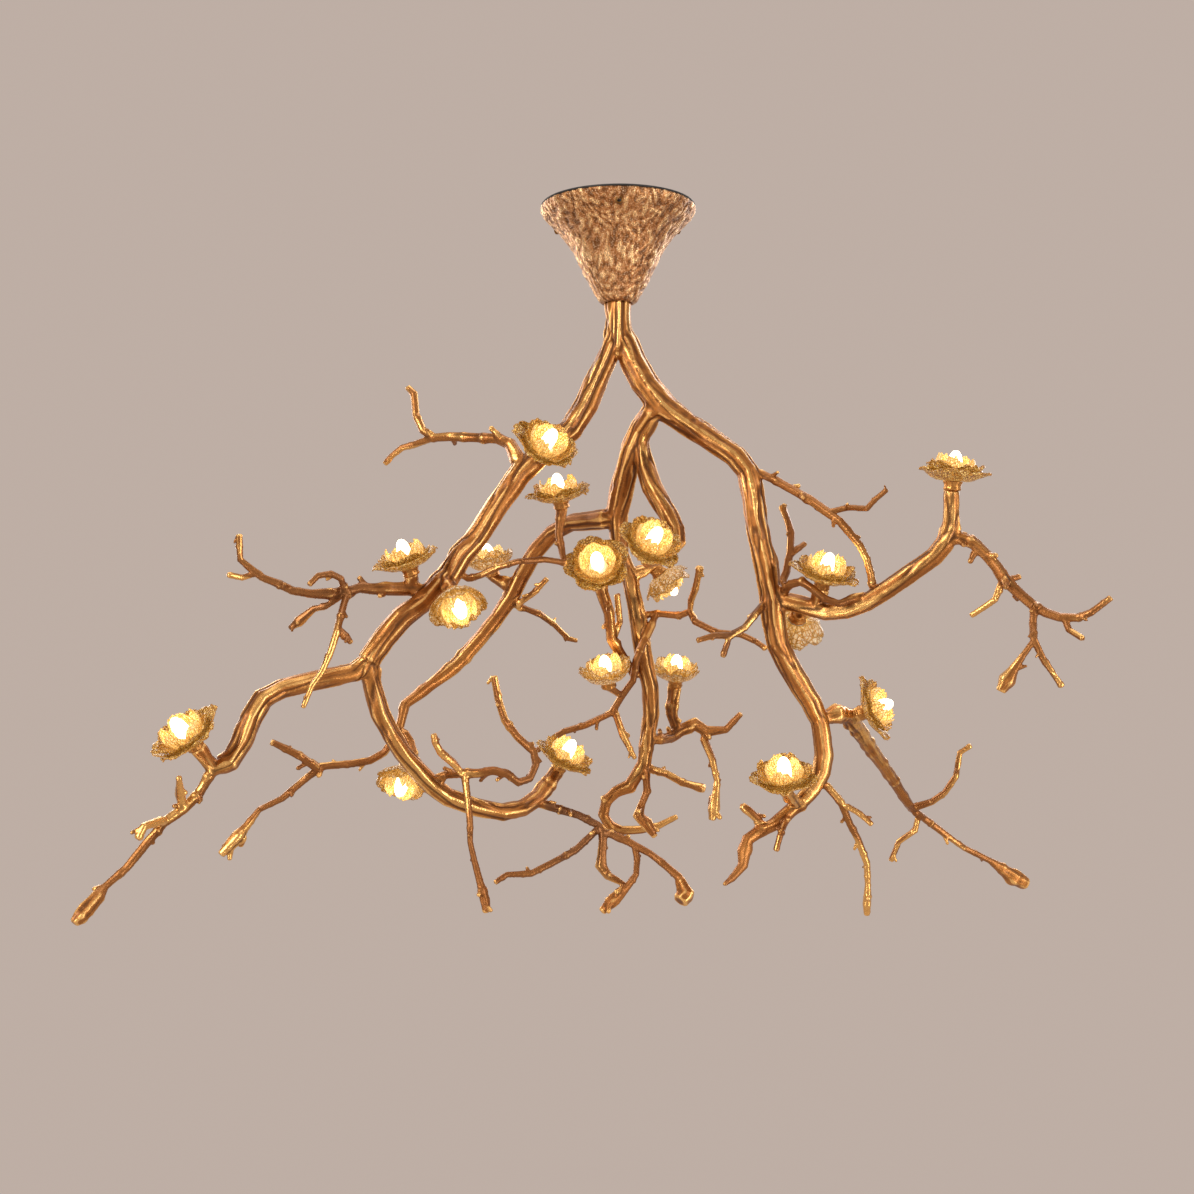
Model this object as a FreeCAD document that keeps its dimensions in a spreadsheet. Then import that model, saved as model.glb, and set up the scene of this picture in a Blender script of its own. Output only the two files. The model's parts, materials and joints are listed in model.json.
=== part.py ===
import FreeCAD, Part
import math
import os

import Sketcher

V = FreeCAD.Vector

# Branch chandelier: a hammered cone canopy on the ceiling, a short stem under it, cast limbs that fork and
# bend like an old branch, thin twigs on them, and 18 flower lamps. Millimetres, z = 0 at the ceiling, +Z up.

DOC = FreeCAD.newDocument("branch_chandelier")

# ---------------------------------------------------------------- driving dimensions
SIZES = [
    ("canopy_radius", 77.0, "outer radius of the canopy at its top rim"),
    ("canopy_height", 97.0, "ceiling to the canopy's lower lip"),
    ("canopy_wall", 2.5, "canopy casting's wall"),
    ("collar_radius", 17.0, "outer radius of the lower lip"),
    ("canopy_top_gap", 0.6, "shadow gap between the ceiling and the rim"),
    ("plate_radius", 70.0, "ceiling plate radius"),
    ("plate_thickness", 3.0, "ceiling plate"),
    ("lug_drop", 18.0, "how far the plate's lugs turn down"),
    ("lug_width", 16.0, "lug width"),
    ("lug_wall", 3.0, "lug thickness"),
    ("lug_reach", 50.0, "stem axis to a lug's outer face"),
    ("fixing_circle", 55.0, "radius of the ceiling screw circle"),
    ("fixing_hole", 2.5, "radius of a ceiling screw hole"),
    ("grub_radius", 2.5, "canopy side screw, threaded part"),
    ("grub_head", 4.0, "canopy side screw, knurled head radius"),
    ("grub_head_length", 3.5, "canopy side screw, head length"),
    ("grub_drop", 14.0, "side screws below the ceiling"),
    ("nipple_radius", 5.0, "threaded tube that carries the stem"),
    ("nipple_bore", 3.5, "wire way through the tube"),
    ("nut_across", 14.0, "hexagon nut across flats"),
    ("nut_thickness", 5.0, "hexagon nut"),
    ("washer_radius", 11.0, "washer over the upper nut"),
    ("washer_thickness", 1.5, "washer"),
    ("driver_length", 60.0, "lamp driver length"),
    ("driver_depth", 26.0, "lamp driver width"),
    ("driver_height", 20.0, "lamp driver height"),
    ("block_length", 30.0, "terminal block length"),
    ("block_depth", 15.0, "terminal block width"),
    ("block_height", 13.0, "terminal block height"),
    ("earth_radius", 2.0, "earth screw"),
    ("stem_radius", 13.0, "stem under the canopy"),
    ("stem_entry", 20.0, "how far the stem stands up inside the canopy's lip"),
    ("limb_girth", 1.0, "thickness of all limbs against the pattern"),
    ("twig_girth", 1.16, "thickness of all twigs against the pattern"),
    ("calyx_radius", 9.0, "metal cup under a flower, rim radius"),
    ("calyx_base", 7.4, "radius of the cup's foot"),
    ("calyx_depth", 8.5, "cup height"),
    ("calyx_floor", 3.0, "cup's foot thickness"),
    ("holder_radius", 7.0, "ceramic lamp holder"),
    ("holder_clearance", 0.5, "holder to cup and to petal hubs"),
    ("holder_flange", 9.6, "flange that clamps the petals"),
    ("flange_thickness", 1.6, "flange of the holder"),
    ("petal_thickness", 1.2, "petal wall"),
    ("outer_reach", 31.0, "open flower's outer petals, axis to tip"),
    ("outer_rise", 14.0, "open flower's outer petals, hub to tip along the axis"),
    ("half_open_reach", 25.5, "half-open flower's outer petals, axis to tip"),
    ("half_open_rise", 17.0, "half-open flower's outer petals, hub to tip along the axis"),
    ("inner_reach", 19.5, "inner petals, axis to tip"),
    ("inner_rise", 18.5, "inner petals, hub to tip along the axis"),
    ("bulb_radius", 6.6, "lamp capsule"),
    ("bulb_length", 24.0, "lamp capsule above the holder"),
    ("pin_width", 0.8, "lamp pin"),
    ("pin_length", 7.0, "lamp pin"),
    ("pin_spacing", 4.0, "lamp pins, centre to centre"),
    ("pin_clearance", 0.15, "pin to its hole"),
]

SHEET = DOC.addObject("Spreadsheet::Sheet", "sizes")
for row, (alias, number, meaning) in enumerate(SIZES, start=1):
    SHEET.set(f"A{row}", alias)
    SHEET.set(f"B{row}", str(number))
    SHEET.set(f"C{row}", meaning)
    SHEET.setAlias(f"B{row}", alias)
DOC.recompute()


def size(alias):
    return float(SHEET.get(alias))


# ---------------------------------------------------------------- the pattern's view
# The limbs' routes are drawn as the chandelier is seen from one standing place in front of it:
# across and height are measured in the upright plane through the stem, and depth is how far a
# point lies behind that plane along the line of sight.
EYE_DISTANCE = 1350.0
EYE_ACROSS = -21.0
EYE_HEIGHT = -390.4
PATTERN_CANOPY_HEIGHT = 97.0
HANG = size("canopy_height") - PATTERN_CANOPY_HEIGHT


def seen(across, height, depth):
    reach = (EYE_DISTANCE + depth) / EYE_DISTANCE
    x = EYE_ACROSS + (across - EYE_ACROSS) * reach
    z = EYE_HEIGHT + (height - EYE_HEIGHT) * reach
    return V(x, depth, z - HANG)


# ---------------------------------------------------------------- ridged bars
LIMB_RIDGES = 8
BOUGH_RIDGES = 6
TWIG_RIDGES = 5
LIMB_RADIUS = 9.7
BOUGH_RADIUS = 7.2
FLUTE = 0.93  # a limb's alternate ridges stand this much lower


def cross_frames(line, end_axis):
    """Tangent and two cross directions at each point, turned as little as the line allows."""
    frames = []
    side = None
    last = len(line) - 1
    for i, point in enumerate(line):
        before = (point - line[i - 1]).normalize() if i else None
        after = (line[i + 1] - point).normalize() if i < last else None
        tangent = (before or V()) + (after or V())
        if i == last and end_axis is not None:
            tangent = V(end_axis)
        tangent.normalize()
        if side is None:
            side = tangent.cross(V(0, 1, 0))
            if side.Length < 0.1:
                side = tangent.cross(V(1, 0, 0))
        side = side - tangent * side.dot(tangent)
        side.normalize()
        frames.append((tangent, V(side), tangent.cross(side)))
    return frames


def ring(centre, right, up, radius, corners, flute=1.0):
    points = []
    for k in range(corners):
        turn = 2 * math.pi * k / corners
        reach = radius * (flute if k % 2 else 1.0)
        points.append(centre + right * (reach * math.cos(turn)) + up * (reach * math.sin(turn)))
    return points


def facet(*corners):
    return Part.Face(Part.makePolygon(list(corners) + [corners[0]]))


def level(a, b, c, d):
    """Whether four corners lie in one plane."""
    normal = (b - a).cross(c - a)
    return abs(normal.dot(d - a)) < 1e-7 * max(normal.Length, 1e-9) * (d - a).Length


def faceted(rings):
    """A closed solid with flat facets between rings of equally many corners, and a flat cap at each end."""
    faces = [facet(*rings[0]), facet(*rings[-1])]
    for low, high in zip(rings, rings[1:]):
        for k in range(len(low)):
            a, b, c, d = low[k - 1], low[k], high[k], high[k - 1]
            if level(a, b, c, d):
                faces.append(facet(a, b, c, d))
            elif (c - a).Length < (d - b).Length:
                faces += [facet(a, b, c), facet(a, c, d)]
            else:
                faces += [facet(a, b, d), facet(b, c, d)]
    solid = Part.makeSolid(Part.makeShell(faces))
    if solid.Volume < 0:
        solid.reverse()
    return solid


def bar(line, radii, end_axis=None):
    """A cast bar along a line: its ridges and flutes run lengthwise, as bark does."""
    thickest = max(radii)
    ridges = TWIG_RIDGES
    if thickest > BOUGH_RADIUS:
        ridges = LIMB_RIDGES if thickest > LIMB_RADIUS else BOUGH_RIDGES
    flute = FLUTE if ridges == LIMB_RIDGES else 1.0
    rings = []
    for point, radius, (_, right, up) in zip(line, radii, cross_frames(line, end_axis)):
        rings.append(ring(point, right, up, radius, ridges, flute))
    return faceted(rings)


def spread(values, count):
    """A short list of values laid evenly over count places."""
    if len(values) == 1:
        return [values[0]] * count
    laid = []
    for i in range(count):
        place = i * (len(values) - 1) / max(count - 1, 1)
        low = min(int(place), len(values) - 2)
        laid.append(values[low] + (values[low + 1] - values[low]) * (place - low))
    return laid


class Shoot:
    """One limb or twig: its places as seen, its line in space, and its solid."""

    def __init__(self, places, radii, depths, parent=None, girth="twig_girth", end_axis=None):
        count = len(places)
        radii = [radius * size(girth) for radius in spread(radii, count)]
        depths = spread(depths, count)
        if parent is not None:
            root, root_depth, root_radius = parent.nearest(places[0])
            offset = math.hypot(places[0][0] - root[0], places[0][1] - root[1])
            if offset < 0.6 * root_radius and count > 2:
                places = places[1:]
                radii = radii[1:]
                depths = depths[1:]
            if len(depths) > 1:
                depths[0] = root_depth + (depths[-1] - root_depth) / (2.0 * len(depths))
            places = [root] + list(places)
            radii = [min(radii[0], 0.7 * root_radius)] + radii
            depths = [root_depth] + depths
        self.places = places
        self.radii = radii
        self.depths = depths
        self.line = [seen(across, height, depth) for (across, height), depth in zip(places, depths)]
        self.solid = bar(self.line, radii, end_axis)

    def nearest(self, place):
        best = None
        for i in range(len(self.places) - 1):
            (ax, ay), (bx, by) = self.places[i], self.places[i + 1]
            run = (bx - ax) ** 2 + (by - ay) ** 2
            share = ((place[0] - ax) * (bx - ax) + (place[1] - ay) * (by - ay)) / run
            share = min(max(share, 0.0), 1.0)
            root = (ax + share * (bx - ax), ay + share * (by - ay))
            off = math.hypot(place[0] - root[0], place[1] - root[1])
            if best is None or off < best[0]:
                depth = self.depths[i] + share * (self.depths[i + 1] - self.depths[i])
                radius = self.radii[i] + share * (self.radii[i + 1] - self.radii[i])
                best = (off, root, depth, radius)
        return best[1:]


def limb(places, radii, depths, parent=None, end_axis=None):
    return Shoot(places, radii, depths, parent, "limb_girth", end_axis)


def twig(places, radii, depths, parent, end_axis=None):
    return Shoot(places, radii, depths, parent, "twig_girth", end_axis)


# ---------------------------------------------------------------- flowers: place of the cup's foot, and facing
# number: (across, height, depth, facing)
FLOWERS = {
    1: (334, -284, -122, (0.08, -0.10, 0.99)),
    2: (-79, -249, -36, (0.45, -0.66, 0.60)),
    3: (-56, -302, 12, (-0.16, -0.24, 0.96)),
    4: (-206, -369, -66, (-0.28, -0.22, 0.93)),
    5: (-125, -370, 112, (-0.20, -0.10, 0.97)),
    6: (-166, -384, -74, (0.35, -0.62, -0.70)),
    7: (-421, -541, -156, (-0.45, -0.50, 0.74)),
    8: (-19, -366, 26, (-0.08, -0.86, 0.50)),
    9: (26, -347, -50, (0.40, -0.66, 0.64)),
    10: (37, -361, 60, (0.62, 0.10, -0.78)),
    11: (-9, -481, 40, (-0.15, -0.35, 0.92)),
    12: (57, -480, 122, (0.05, -0.25, 0.96)),
    13: (-60, -563, 34, (0.45, -0.25, 0.85)),
    14: (-211, -558, 18, (-0.15, -0.58, -0.80)),
    15: (203, -382, -62, (0.20, -0.32, 0.93)),
    16: (181, -406, -28, (-0.08, 0.75, -0.65)),
    17: (241, -507, -6, (0.84, -0.42, 0.34)),
    18: (168, -585, -72, (-0.12, -0.34, 0.93)),
}

HALF_OPEN = (5, 6, 10, 11, 12, 14, 16)  # flowers whose outer petals stand up round the lamp


def facing(number):
    return V(*FLOWERS[number][3]).normalize()


def foot(number):
    across, height, depth, _ = FLOWERS[number]
    return seen(across, height, depth)


def stalk(parent, number, radius=6.0, girth="twig_girth"):
    """A short stalk from the middle of its parent to a flower's foot, square to the flower."""
    across, height, depth, _ = FLOWERS[number]
    root, root_depth, root_radius = parent.nearest((across, height))
    start = seen(root[0], root[1], root_depth)
    end = foot(number)
    away = (end - start).normalize()
    if away.dot(facing(number)) > 0.6:
        line = [start, end]
    else:
        line = [start, start + (end - start) * 0.55, end]
    radius = radius * size(girth)
    return bar(line, [min(radius, 0.8 * root_radius)] + [radius] * (len(line) - 1), facing(number))


# ---------------------------------------------------------------- stem and limbs
STEM_TOP = -(size("canopy_height") - size("stem_entry"))
STEM_PATTERN_TOP = -77.0

stem_girth = size("stem_radius")
stem = limb(
    [(0, STEM_PATTERN_TOP), (0, -98), (0, -119), (0, -129), (0, -140), (0, -150)],
    [stem_girth, stem_girth, stem_girth, stem_girth + 1.6, stem_girth + 1.6, stem_girth - 2],
    [0.0],
)
# the stem's top face lies level inside the canopy's lip, and follows stem_entry
stem_top_point = V(0, 0, STEM_TOP)
stem.line[0] = stem_top_point
stem.solid = bar(stem.line, stem.radii, V(-0.1, 0, -1))

limb_left = limb(
    [(-3, -120), (-6, -137), (-13, -155), (-21, -173), (-32, -198), (-47, -222), (-73, -243), (-98, -267),
     (-122, -301), (-145, -336), (-158, -349), (-170, -370), (-180, -377), (-195, -396), (-216, -411),
     (-236, -434), (-249, -454)],
    [9.6, 10.4, 11.0, 11.4, 11.8, 11.8, 11.0, 11.0, 10.8, 10.6, 11.6, 12.0, 10.8, 10.6, 11.2, 11.0, 10.8],
    [0, -2, -6, -14, -24, -36, -48, -60, -72, -80], stem)
limb_left_end = limb(
    [(-264, -466), (-288, -471), (-312, -476), (-336, -482), (-355, -492), (-367, -512), (-376, -535),
     (-388, -555), (-404, -562), (-421, -541)],
    [9.4, 9.2, 9.2, 9.2, 9.6, 10.0, 9.5, 9.0, 7.8, 6.4],
    [-86, -100, -116, -134, -150, -156], limb_left, facing(7))
limb_left_bend = limb(
    [(-248, -466), (-245, -481), (-238, -506), (-226, -529), (-215, -546), (-201, -563), (-186, -579),
     (-171, -590), (-144, -600), (-115, -606), (-96, -602), (-81, -592), (-70, -578), (-60, -563)],
    [9.0, 9.0, 9.0, 9.0, 9.2, 9.4, 9.4, 9.4, 9.4, 9.2, 8.8, 8.4, 7.8, 6.8],
    [-80, -72, -60, -46, -28, -6, 16, 34], limb_left, facing(13))
limb_right = limb(
    [(4, -120), (8, -136), (15, -155), (26, -176), (44, -199), (66, -215), (93, -233), (117, -249), (130, -265),
     (135, -288), (138, -312), (143, -337), (148, -357), (151, -377), (154, -394), (156, -414), (160, -439),
     (168, -455), (180, -475), (193, -496), (201, -514), (204, -531), (206, -548), (203, -566), (195, -583),
     (182, -596), (169, -607), (156, -618), (143, -624), (130, -633), (126, -646), (125, -659), (114, -672),
     (106, -678)],
    [10.0, 12.2, 13.0, 13.4, 14.0, 12.2, 11.4, 11.0, 11.2, 11.2, 11.0, 11.2, 11.6, 11.2, 11.6, 11.2, 11.0, 10.8,
     10.4, 9.8, 8.8, 9.0, 9.2, 8.8, 7.6, 7.0, 6.6, 6.2, 5.8, 5.6, 5.8, 4.6, 3.0, 1.6],
    [0, -6, -14, -24, -34, -40, -40, -34, -28, -32, -44, -58, -72, -88], stem)
limb_centre = limb(
    [(34, -206), (24, -222), (15, -241), (9, -261), (3, -288), (-1, -306), (1, -328), (2, -347), (11, -369),
     (18, -402), (23, -432), (26, -451), (32, -480), (33, -507), (29, -536), (26, -557), (12, -579), (-2, -585),
     (-11, -594), (-15, -608), (-9, -619), (3, -624), (23, -623), (41, -619), (59, -610)],
    [11.0, 12.4, 12.6, 12.2, 12.0, 11.2, 9.6, 8.8, 8.4, 8.8, 9.6, 9.4, 9.6, 9.0, 8.0, 7.4, 6.8, 6.2, 5.6, 5.6,
     6.0, 5.0, 4.0, 3.4, 2.6],
    [2, 16, 36, 56, 70, 78, 84, 90, 92, 90], limb_right)
centre_hook = limb(
    [(24, -240), (28, -262), (34, -280), (42, -294), (50, -308), (58, -322), (59, -335), (48, -348), (30, -354),
     (26, -347)],
    [8.4, 9.6, 10.2, 10.0, 9.6, 9.2, 9.0, 8.2, 7.2, 6.6],
    [12, 4, -6, -14, -20, -24, -26, -30, -40, -50], limb_centre, facing(9))
limb_back = limb(
    [(-14, -313), (-46, -316), (-66, -327), (-83, -346), (-97, -370), (-107, -391), (-121, -411), (-135, -429),
     (-163, -460), (-186, -477), (-201, -489), (-213, -498), (-219, -523)],
    [10.4, 9.0, 9.0, 9.2, 9.4, 9.0, 8.6, 8.4, 7.8, 6.8, 6.0, 5.2, 4.2],
    [58, 84, 104, 104, 88, 64, 40], limb_centre)
right_arm = limb(
    [(166, -394), (187, -399), (208, -405), (229, -403), (250, -395), (271, -382), (292, -367), (316, -350),
     (327, -337), (333, -322), (334, -303), (334, -284)],
    [8.6, 8.4, 8.4, 8.6, 8.6, 8.6, 8.6, 8.6, 8.6, 8.0, 7.4, 7.0],
    [-42, -56, -76, -98, -114, -120, -122], limb_right, facing(1))
right_spur = limb(
    [(205, -512), (218, -507), (229, -509), (238, -520), (251, -540), (264, -557), (277, -576), (290, -596),
     (294, -602)],
    [8.6, 8.2, 8.0, 7.6, 7.0, 6.4, 5.6, 4.8, 4.4],
    [-26, -10, 20, 56, 92, 120], limb_right)

# ---------------------------------------------------------------- twigs
# upper left
twig_fork = twig([(-100, -252), (-108, -237), (-120, -232), (-142, -231), (-169, -230), (-185, -231),
                  (-195, -224), (-202, -208), (-204, -187), (-210, -181)],
                 [6.4, 5.0, 4.2, 3.8, 3.6, 3.4, 3.0, 2.8], [-24, 0, 26, 40, 50], limb_left)
twig_fork_side = twig([(-188, -232), (-204, -238), (-216, -241), (-226, -249), (-233, -257)],
                      [3.2, 2.8, 2.2], [40, 52], twig_fork)

# far left tangle
tangle = twig([(-190, -383), (-209, -382), (-229, -382), (-245, -382), (-258, -381), (-272, -385),
               (-290, -387), (-306, -387), (-325, -384), (-339, -377), (-355, -371), (-366, -363),
               (-378, -353), (-379, -328)],
              [5.9, 5.9, 5.4, 4.2, 3.8, 4.8, 3.6, 3.4, 3.2, 3.0, 2.8, 2.6], [-60, -78, -96, -108, -118],
              limb_left)
tangle_fork = twig([(-362, -368), (-376, -371), (-390, -368)], [2.5, 2.2], [-114, -122], tangle)
tangle_arc = twig([(-274, -382), (-277, -372), (-287, -367), (-300, -369), (-309, -378)], [3.0, 2.2],
                  [-92, -112], tangle)
tangle_leaf = twig([(-276, -389), (-293, -400), (-304, -402), (-317, -413), (-328, -422)],
                   [2.4, 2.4, 2.6, 4.2, 2.0], [-94, -88], tangle)
tangle_drop = twig([(-272, -390), (-277, -409), (-281, -425), (-288, -447), (-296, -465), (-306, -479),
                    (-315, -501)], [3.0, 2.8, 2.4, 1.8], [-100, -124, -134, -140], tangle)
tangle_bud = twig([(-279, -421), (-273, -429), (-267, -436)], [2.4, 3.4, 2.0], [-122, -128], tangle_drop)

# tip of the left limb
left_tail = twig([(-406, -566), (-420, -588), (-434, -602), (-454, -616), (-471, -636), (-491, -661),
                  (-512, -679), (-520, -690), (-532, -703), (-544, -716)],
                 [4.4, 4.0, 3.8, 3.6, 3.4, 3.0, 2.6, 4.4, 6.2, 3.6], [-152, -178, -204, -228], limb_left_end)
left_tail_up = twig([(-435, -602), (-438, -588), (-439, -571)], [3.4, 3.8, 1.8], [-176, -190], left_tail)
left_tail_leaf = twig([(-456, -614), (-474, -620), (-480, -632)], [3.2, 2.8], [-196, -206], left_tail)

# on the low bend
bend_run = twig([(-186, -573), (-171, -568), (-156, -567), (-140, -567), (-125, -564), (-111, -567),
                 (-100, -576), (-88, -572), (-82, -558), (-84, -545), (-100, -531), (-113, -514), (-119, -495),
                 (-124, -470)],
                [3.8, 3.6, 3.6, 3.4, 3.4, 3.2, 3.0], [-56, -60, -56, -40, -20, -6], limb_left_bend)
bend_up = twig([(-156, -567), (-165, -556), (-177, -546), (-182, -537), (-184, -528)], [3.4, 3.2, 2.6],
               [-60, -74], bend_run)
bend_drop = twig([(-153, -573), (-150, -596), (-148, -617), (-148, -636), (-144, -653), (-138, -676),
                  (-133, -694), (-131, -705)], [3.0, 2.8, 2.7, 2.4, 2.4, 3.0, 4.2, 2.4],
                 [-66, -80, -86, -90], bend_run)
bend_tip = twig([(-78, -597), (-62, -602), (-39, -609), (-20, -619), (-16, -623), (-15, -634), (-17, -659),
                 (-10, -669), (7, -678)],
                [4.4, 3.8, 3.4, 3.4, 3.6, 3.6, 4.8, 3.6, 1.8], [18, 6, -6, -14], limb_left_bend)
bend_tip_left = twig([(-22, -624), (-43, -644), (-67, -657), (-87, -667), (-111, -668), (-123, -676)],
                     [3.2, 3.0, 2.8, 2.0], [0, -20, -36], bend_tip)
bend_tip_right = twig([(-8, -627), (10, -635), (32, -647), (44, -656), (60, -670), (68, -686), (62, -694)],
                      [3.4, 3.2, 2.8, 2.8, 3.4, 7.2, 6.2], [-2, -20, -34], bend_tip)
bend_tip_bud = twig([(16, -638), (19, -653), (18, -668), (10, -679), (-4, -693), (-16, -705)],
                    [3.0, 2.8, 2.6, 3.2, 5.6, 3.2], [-16, -34], bend_tip_right)

# on the back limb
back_tail = twig([(-221, -527), (-234, -546), (-248, -554), (-266, -557), (-297, -560), (-317, -576),
                  (-336, -592), (-359, -603), (-372, -620), (-384, -634), (-397, -648)],
                 [3.4, 3.4, 3.4, 3.4, 3.4, 3.2, 2.8, 2.6, 3.4, 5.8, 3.2], [38, 30, 14, -6, -24], limb_back)
back_tail_up = twig([(-303, -560), (-316, -551), (-331, -543), (-347, -535)], [3.6, 3.6, 2.6], [6, -8],
                    back_tail)
back_twig = twig([(-106, -398), (-78, -408), (-64, -418), (-50, -432), (-41, -434)], [3.2, 2.8, 2.2],
                 [104, 124, 134], limb_back)
back_stub = twig([(-98, -396), (-84, -386), (-71, -372)], [3.0, 2.4], [92, 84], limb_back)
back_lamp_stalk = twig([(-213, -527), (-208, -536), (-206, -547), (-211, -558)], [3.6, 4.2, 5.4, 6.0],
                       [40, 32, 18], limb_back, facing(14))
long_loop = twig([(-150, -372), (-138, -369), (-121, -361), (-100, -355), (-74, -353), (-54, -356),
                  (-56, -344), (-59, -327), (-56, -302)],
                 [3.0, 3.0, 2.8, 2.8, 2.8, 2.8, 3.0, 3.4, 5.2], [-56, -36, -14, 4, 12], limb_left, facing(3))

# on the centre limb
lamp_stem = twig([(16, -467), (4, -449), (-7, -432), (-9, -407), (-17, -384), (-19, -366)],
                 [4.4, 4.6, 5.0, 5.2, 5.6, 6.0], [70, 54, 40, 30, 26], limb_centre, facing(8))
lamp_stem_side = twig([(-3, -433), (2, -415), (-1, -388)], [3.2, 2.6], [44, 38], lamp_stem)
centre_shelf = twig([(41, -533), (53, -531), (62, -524), (76, -517), (88, -525), (108, -523), (123, -507)],
                    [5.2, 5.2, 6.0, 6.0, 5.4, 3.4, 2.6], [92, 112, 122, 126, 122], limb_centre)
shelf_stem = twig([(58, -524), (54, -507), (57, -480)], [5.4, 5.6, 6.2], [116, 122], centre_shelf, facing(12))
shelf_drop = twig([(86, -533), (94, -552), (99, -574), (98, -586), (96, -600), (94, -613)],
                  [4.0, 3.4, 2.8, 3.6, 5.6, 3.0], [120, 112], centre_shelf)
centre_spike = twig([(34, -563), (48, -567), (64, -576), (86, -582)], [3.6, 3.4, 3.0], [90, 84], limb_centre)
centre_leaf = twig([(28, -566), (29, -585), (24, -597), (20, -609), (28, -617), (37, -630)],
                   [3.6, 3.4, 3.2, 5.4, 5.8, 2.4], [84, 68], limb_centre)
cross_twig = twig([(38, -407), (32, -421), (25, -437), (18, -454), (15, -474), (4, -489), (-6, -506),
                   (-33, -519), (-54, -525), (-67, -533), (-81, -544)],
                  [4.0, 3.6, 3.4, 3.2, 3.0, 3.0, 3.2, 3.0, 2.6, 2.2], [66, 52, 50, 62, 84, 104], limb_centre)
cross_twig_down = twig([(-2, -509), (5, -529), (17, -552)], [3.0, 3.4, 1.8], [60, 62], cross_twig)
cross_twig_right = twig([(40, -408), (61, -409), (72, -405), (77, -415), (99, -426), (123, -428), (138, -435),
                         (148, -442)], [3.4, 3.2, 2.8, 2.2], [64, 54, 40, 26, 12], cross_twig)
cross_twig_rise = twig([(72, -404), (73, -394), (78, -381), (82, -360)], [3.4, 3.0], [44, 30],
                       cross_twig_right)

# on the right limb
fan_twig = twig([(142, -267), (155, -273), (175, -284), (194, -295), (208, -305), (222, -315), (233, -328),
                 (242, -339), (249, -353), (253, -368), (256, -384)],
                [3.6, 3.6, 4.0, 3.8, 3.2, 3.0, 3.0, 3.0], [-24, -44, -62, -74, -82], limb_right)
fan_twig_side = twig([(211, -304), (229, -301), (249, -302), (257, -293), (269, -283)], [3.0, 2.4, 2.0],
                     [-56, -80, -92], fan_twig)
tall_twig = twig([(160, -384), (168, -366), (172, -346), (173, -326), (169, -312), (164, -300)], [3.6, 3.2, 2.8],
                 [-36, -12, 6], limb_right)
tall_twig_side = twig([(173, -350), (179, -343), (187, -337)], [2.6, 2.2], [-14, -10], tall_twig)
cross_right = twig([(147, -397), (138, -407), (127, -421), (113, -429), (96, -429), (79, -434)],
                   [3.4, 3.0, 2.8, 2.0], [-50, -66, -72], limb_right)
cross_right_side = twig([(112, -430), (108, -440), (105, -450)], [3.0, 2.2], [-68, -72], cross_right)
front_vine = twig([(163, -386), (172, -378), (184, -375), (194, -382), (206, -392), (221, -397), (233, -392),
                   (246, -389)], [3.6, 3.4, 3.2, 3.0], [-52, -72, -84, -84, -80], limb_right)
low_drop = twig([(209, -580), (223, -596), (232, -618), (240, -633), (249, -657), (250, -678), (249, -698),
                 (249, -708)], [3.4, 3.2, 3.0, 2.8, 2.8, 2.4, 3.6, 2.4], [-44, -30, -20, -14], limb_right)
low_drop_side = twig([(230, -600), (242, -607), (254, -618)], [2.6, 2.2], [-38, -46], low_drop)
low_stub = twig([(147, -620), (134, -607), (124, -599)], [3.6, 3.2], [-60, -54], limb_right)
low_twig = twig([(168, -613), (162, -630), (158, -644)], [2.8, 2.2], [-72, -78], limb_right)

# on the right arm
arm_spray = twig([(336, -332), (346, -332), (358, -338), (370, -350), (379, -361), (386, -372), (399, -385),
                  (414, -398), (427, -406), (442, -411), (460, -411), (473, -406), (493, -391)],
                 [5.2, 4.8, 4.6, 4.6, 4.8, 4.0, 3.8, 3.4, 2.8, 2.2], [-118, -130, -146, -164, -182], right_arm)
arm_spray_knot = twig([(388, -374), (402, -370)], [2.6, 2.0], [-142, -138], arm_spray)
arm_spray_low = twig([(384, -376), (377, -393), (364, -402), (353, -409)], [2.7, 2.0], [-138, -126], arm_spray)
arm_spray_fork = twig([(415, -401), (415, -417), (416, -433), (425, -452), (434, -465), (444, -480)],
                      [3.0, 2.8, 2.4, 2.0], [-160, -176], arm_spray)
arm_spray_bud = twig([(415, -434), (405, -449), (396, -462), (389, -474), (383, -484)],
                     [2.8, 2.4, 3.6, 6.0, 3.6], [-166, -158], arm_spray_fork)
arm_spray_end = twig([(446, -413), (451, -423), (465, -432)], [2.8, 2.2], [-172, -184], arm_spray)

# on the right spur
spur_long = twig([(298, -606), (305, -611), (325, -626), (346, -641), (372, -654), (385, -663), (397, -671),
                  (408, -677)], [3.6, 3.2, 3.0, 2.8, 2.8, 5.4, 7.4, 5.0], [126, 138, 150, 156], right_spur)
spur_rise = twig([(299, -600), (314, -595), (327, -586), (338, -570), (342, -546), (353, -539)],
                 [3.4, 3.0, 2.8, 2.2], [118, 98, 86], right_spur)
spur_drop = twig([(300, -609), (297, -624), (281, -635), (273, -654)], [3.0, 2.8, 2.4], [130, 144], spur_long)

# ---------------------------------------------------------------- castings
def fused(solids):
    whole = solids[0]
    for solid in solids[1:]:
        whole = whole.fuse(solid)
    return whole.removeSplitter() if len(solids) > 1 else whole


def largest(shape):
    return max(shape.Solids, key=lambda solid: solid.Volume)


def seated(solid, carriers):
    """A casting's root is trimmed by what carries it, so that the two meet face to face."""
    for carrier in carriers:
        solid = solid.cut(carrier)
    return largest(solid)


CAST = {}


def casting(node, groups):
    """One node of one or more castings; each group is (its shoots' solids, its carriers)."""
    solids = [seated(fused(shoots), carriers) for shoots, carriers in groups]
    CAST[node] = solids
    return solids[0]


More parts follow.
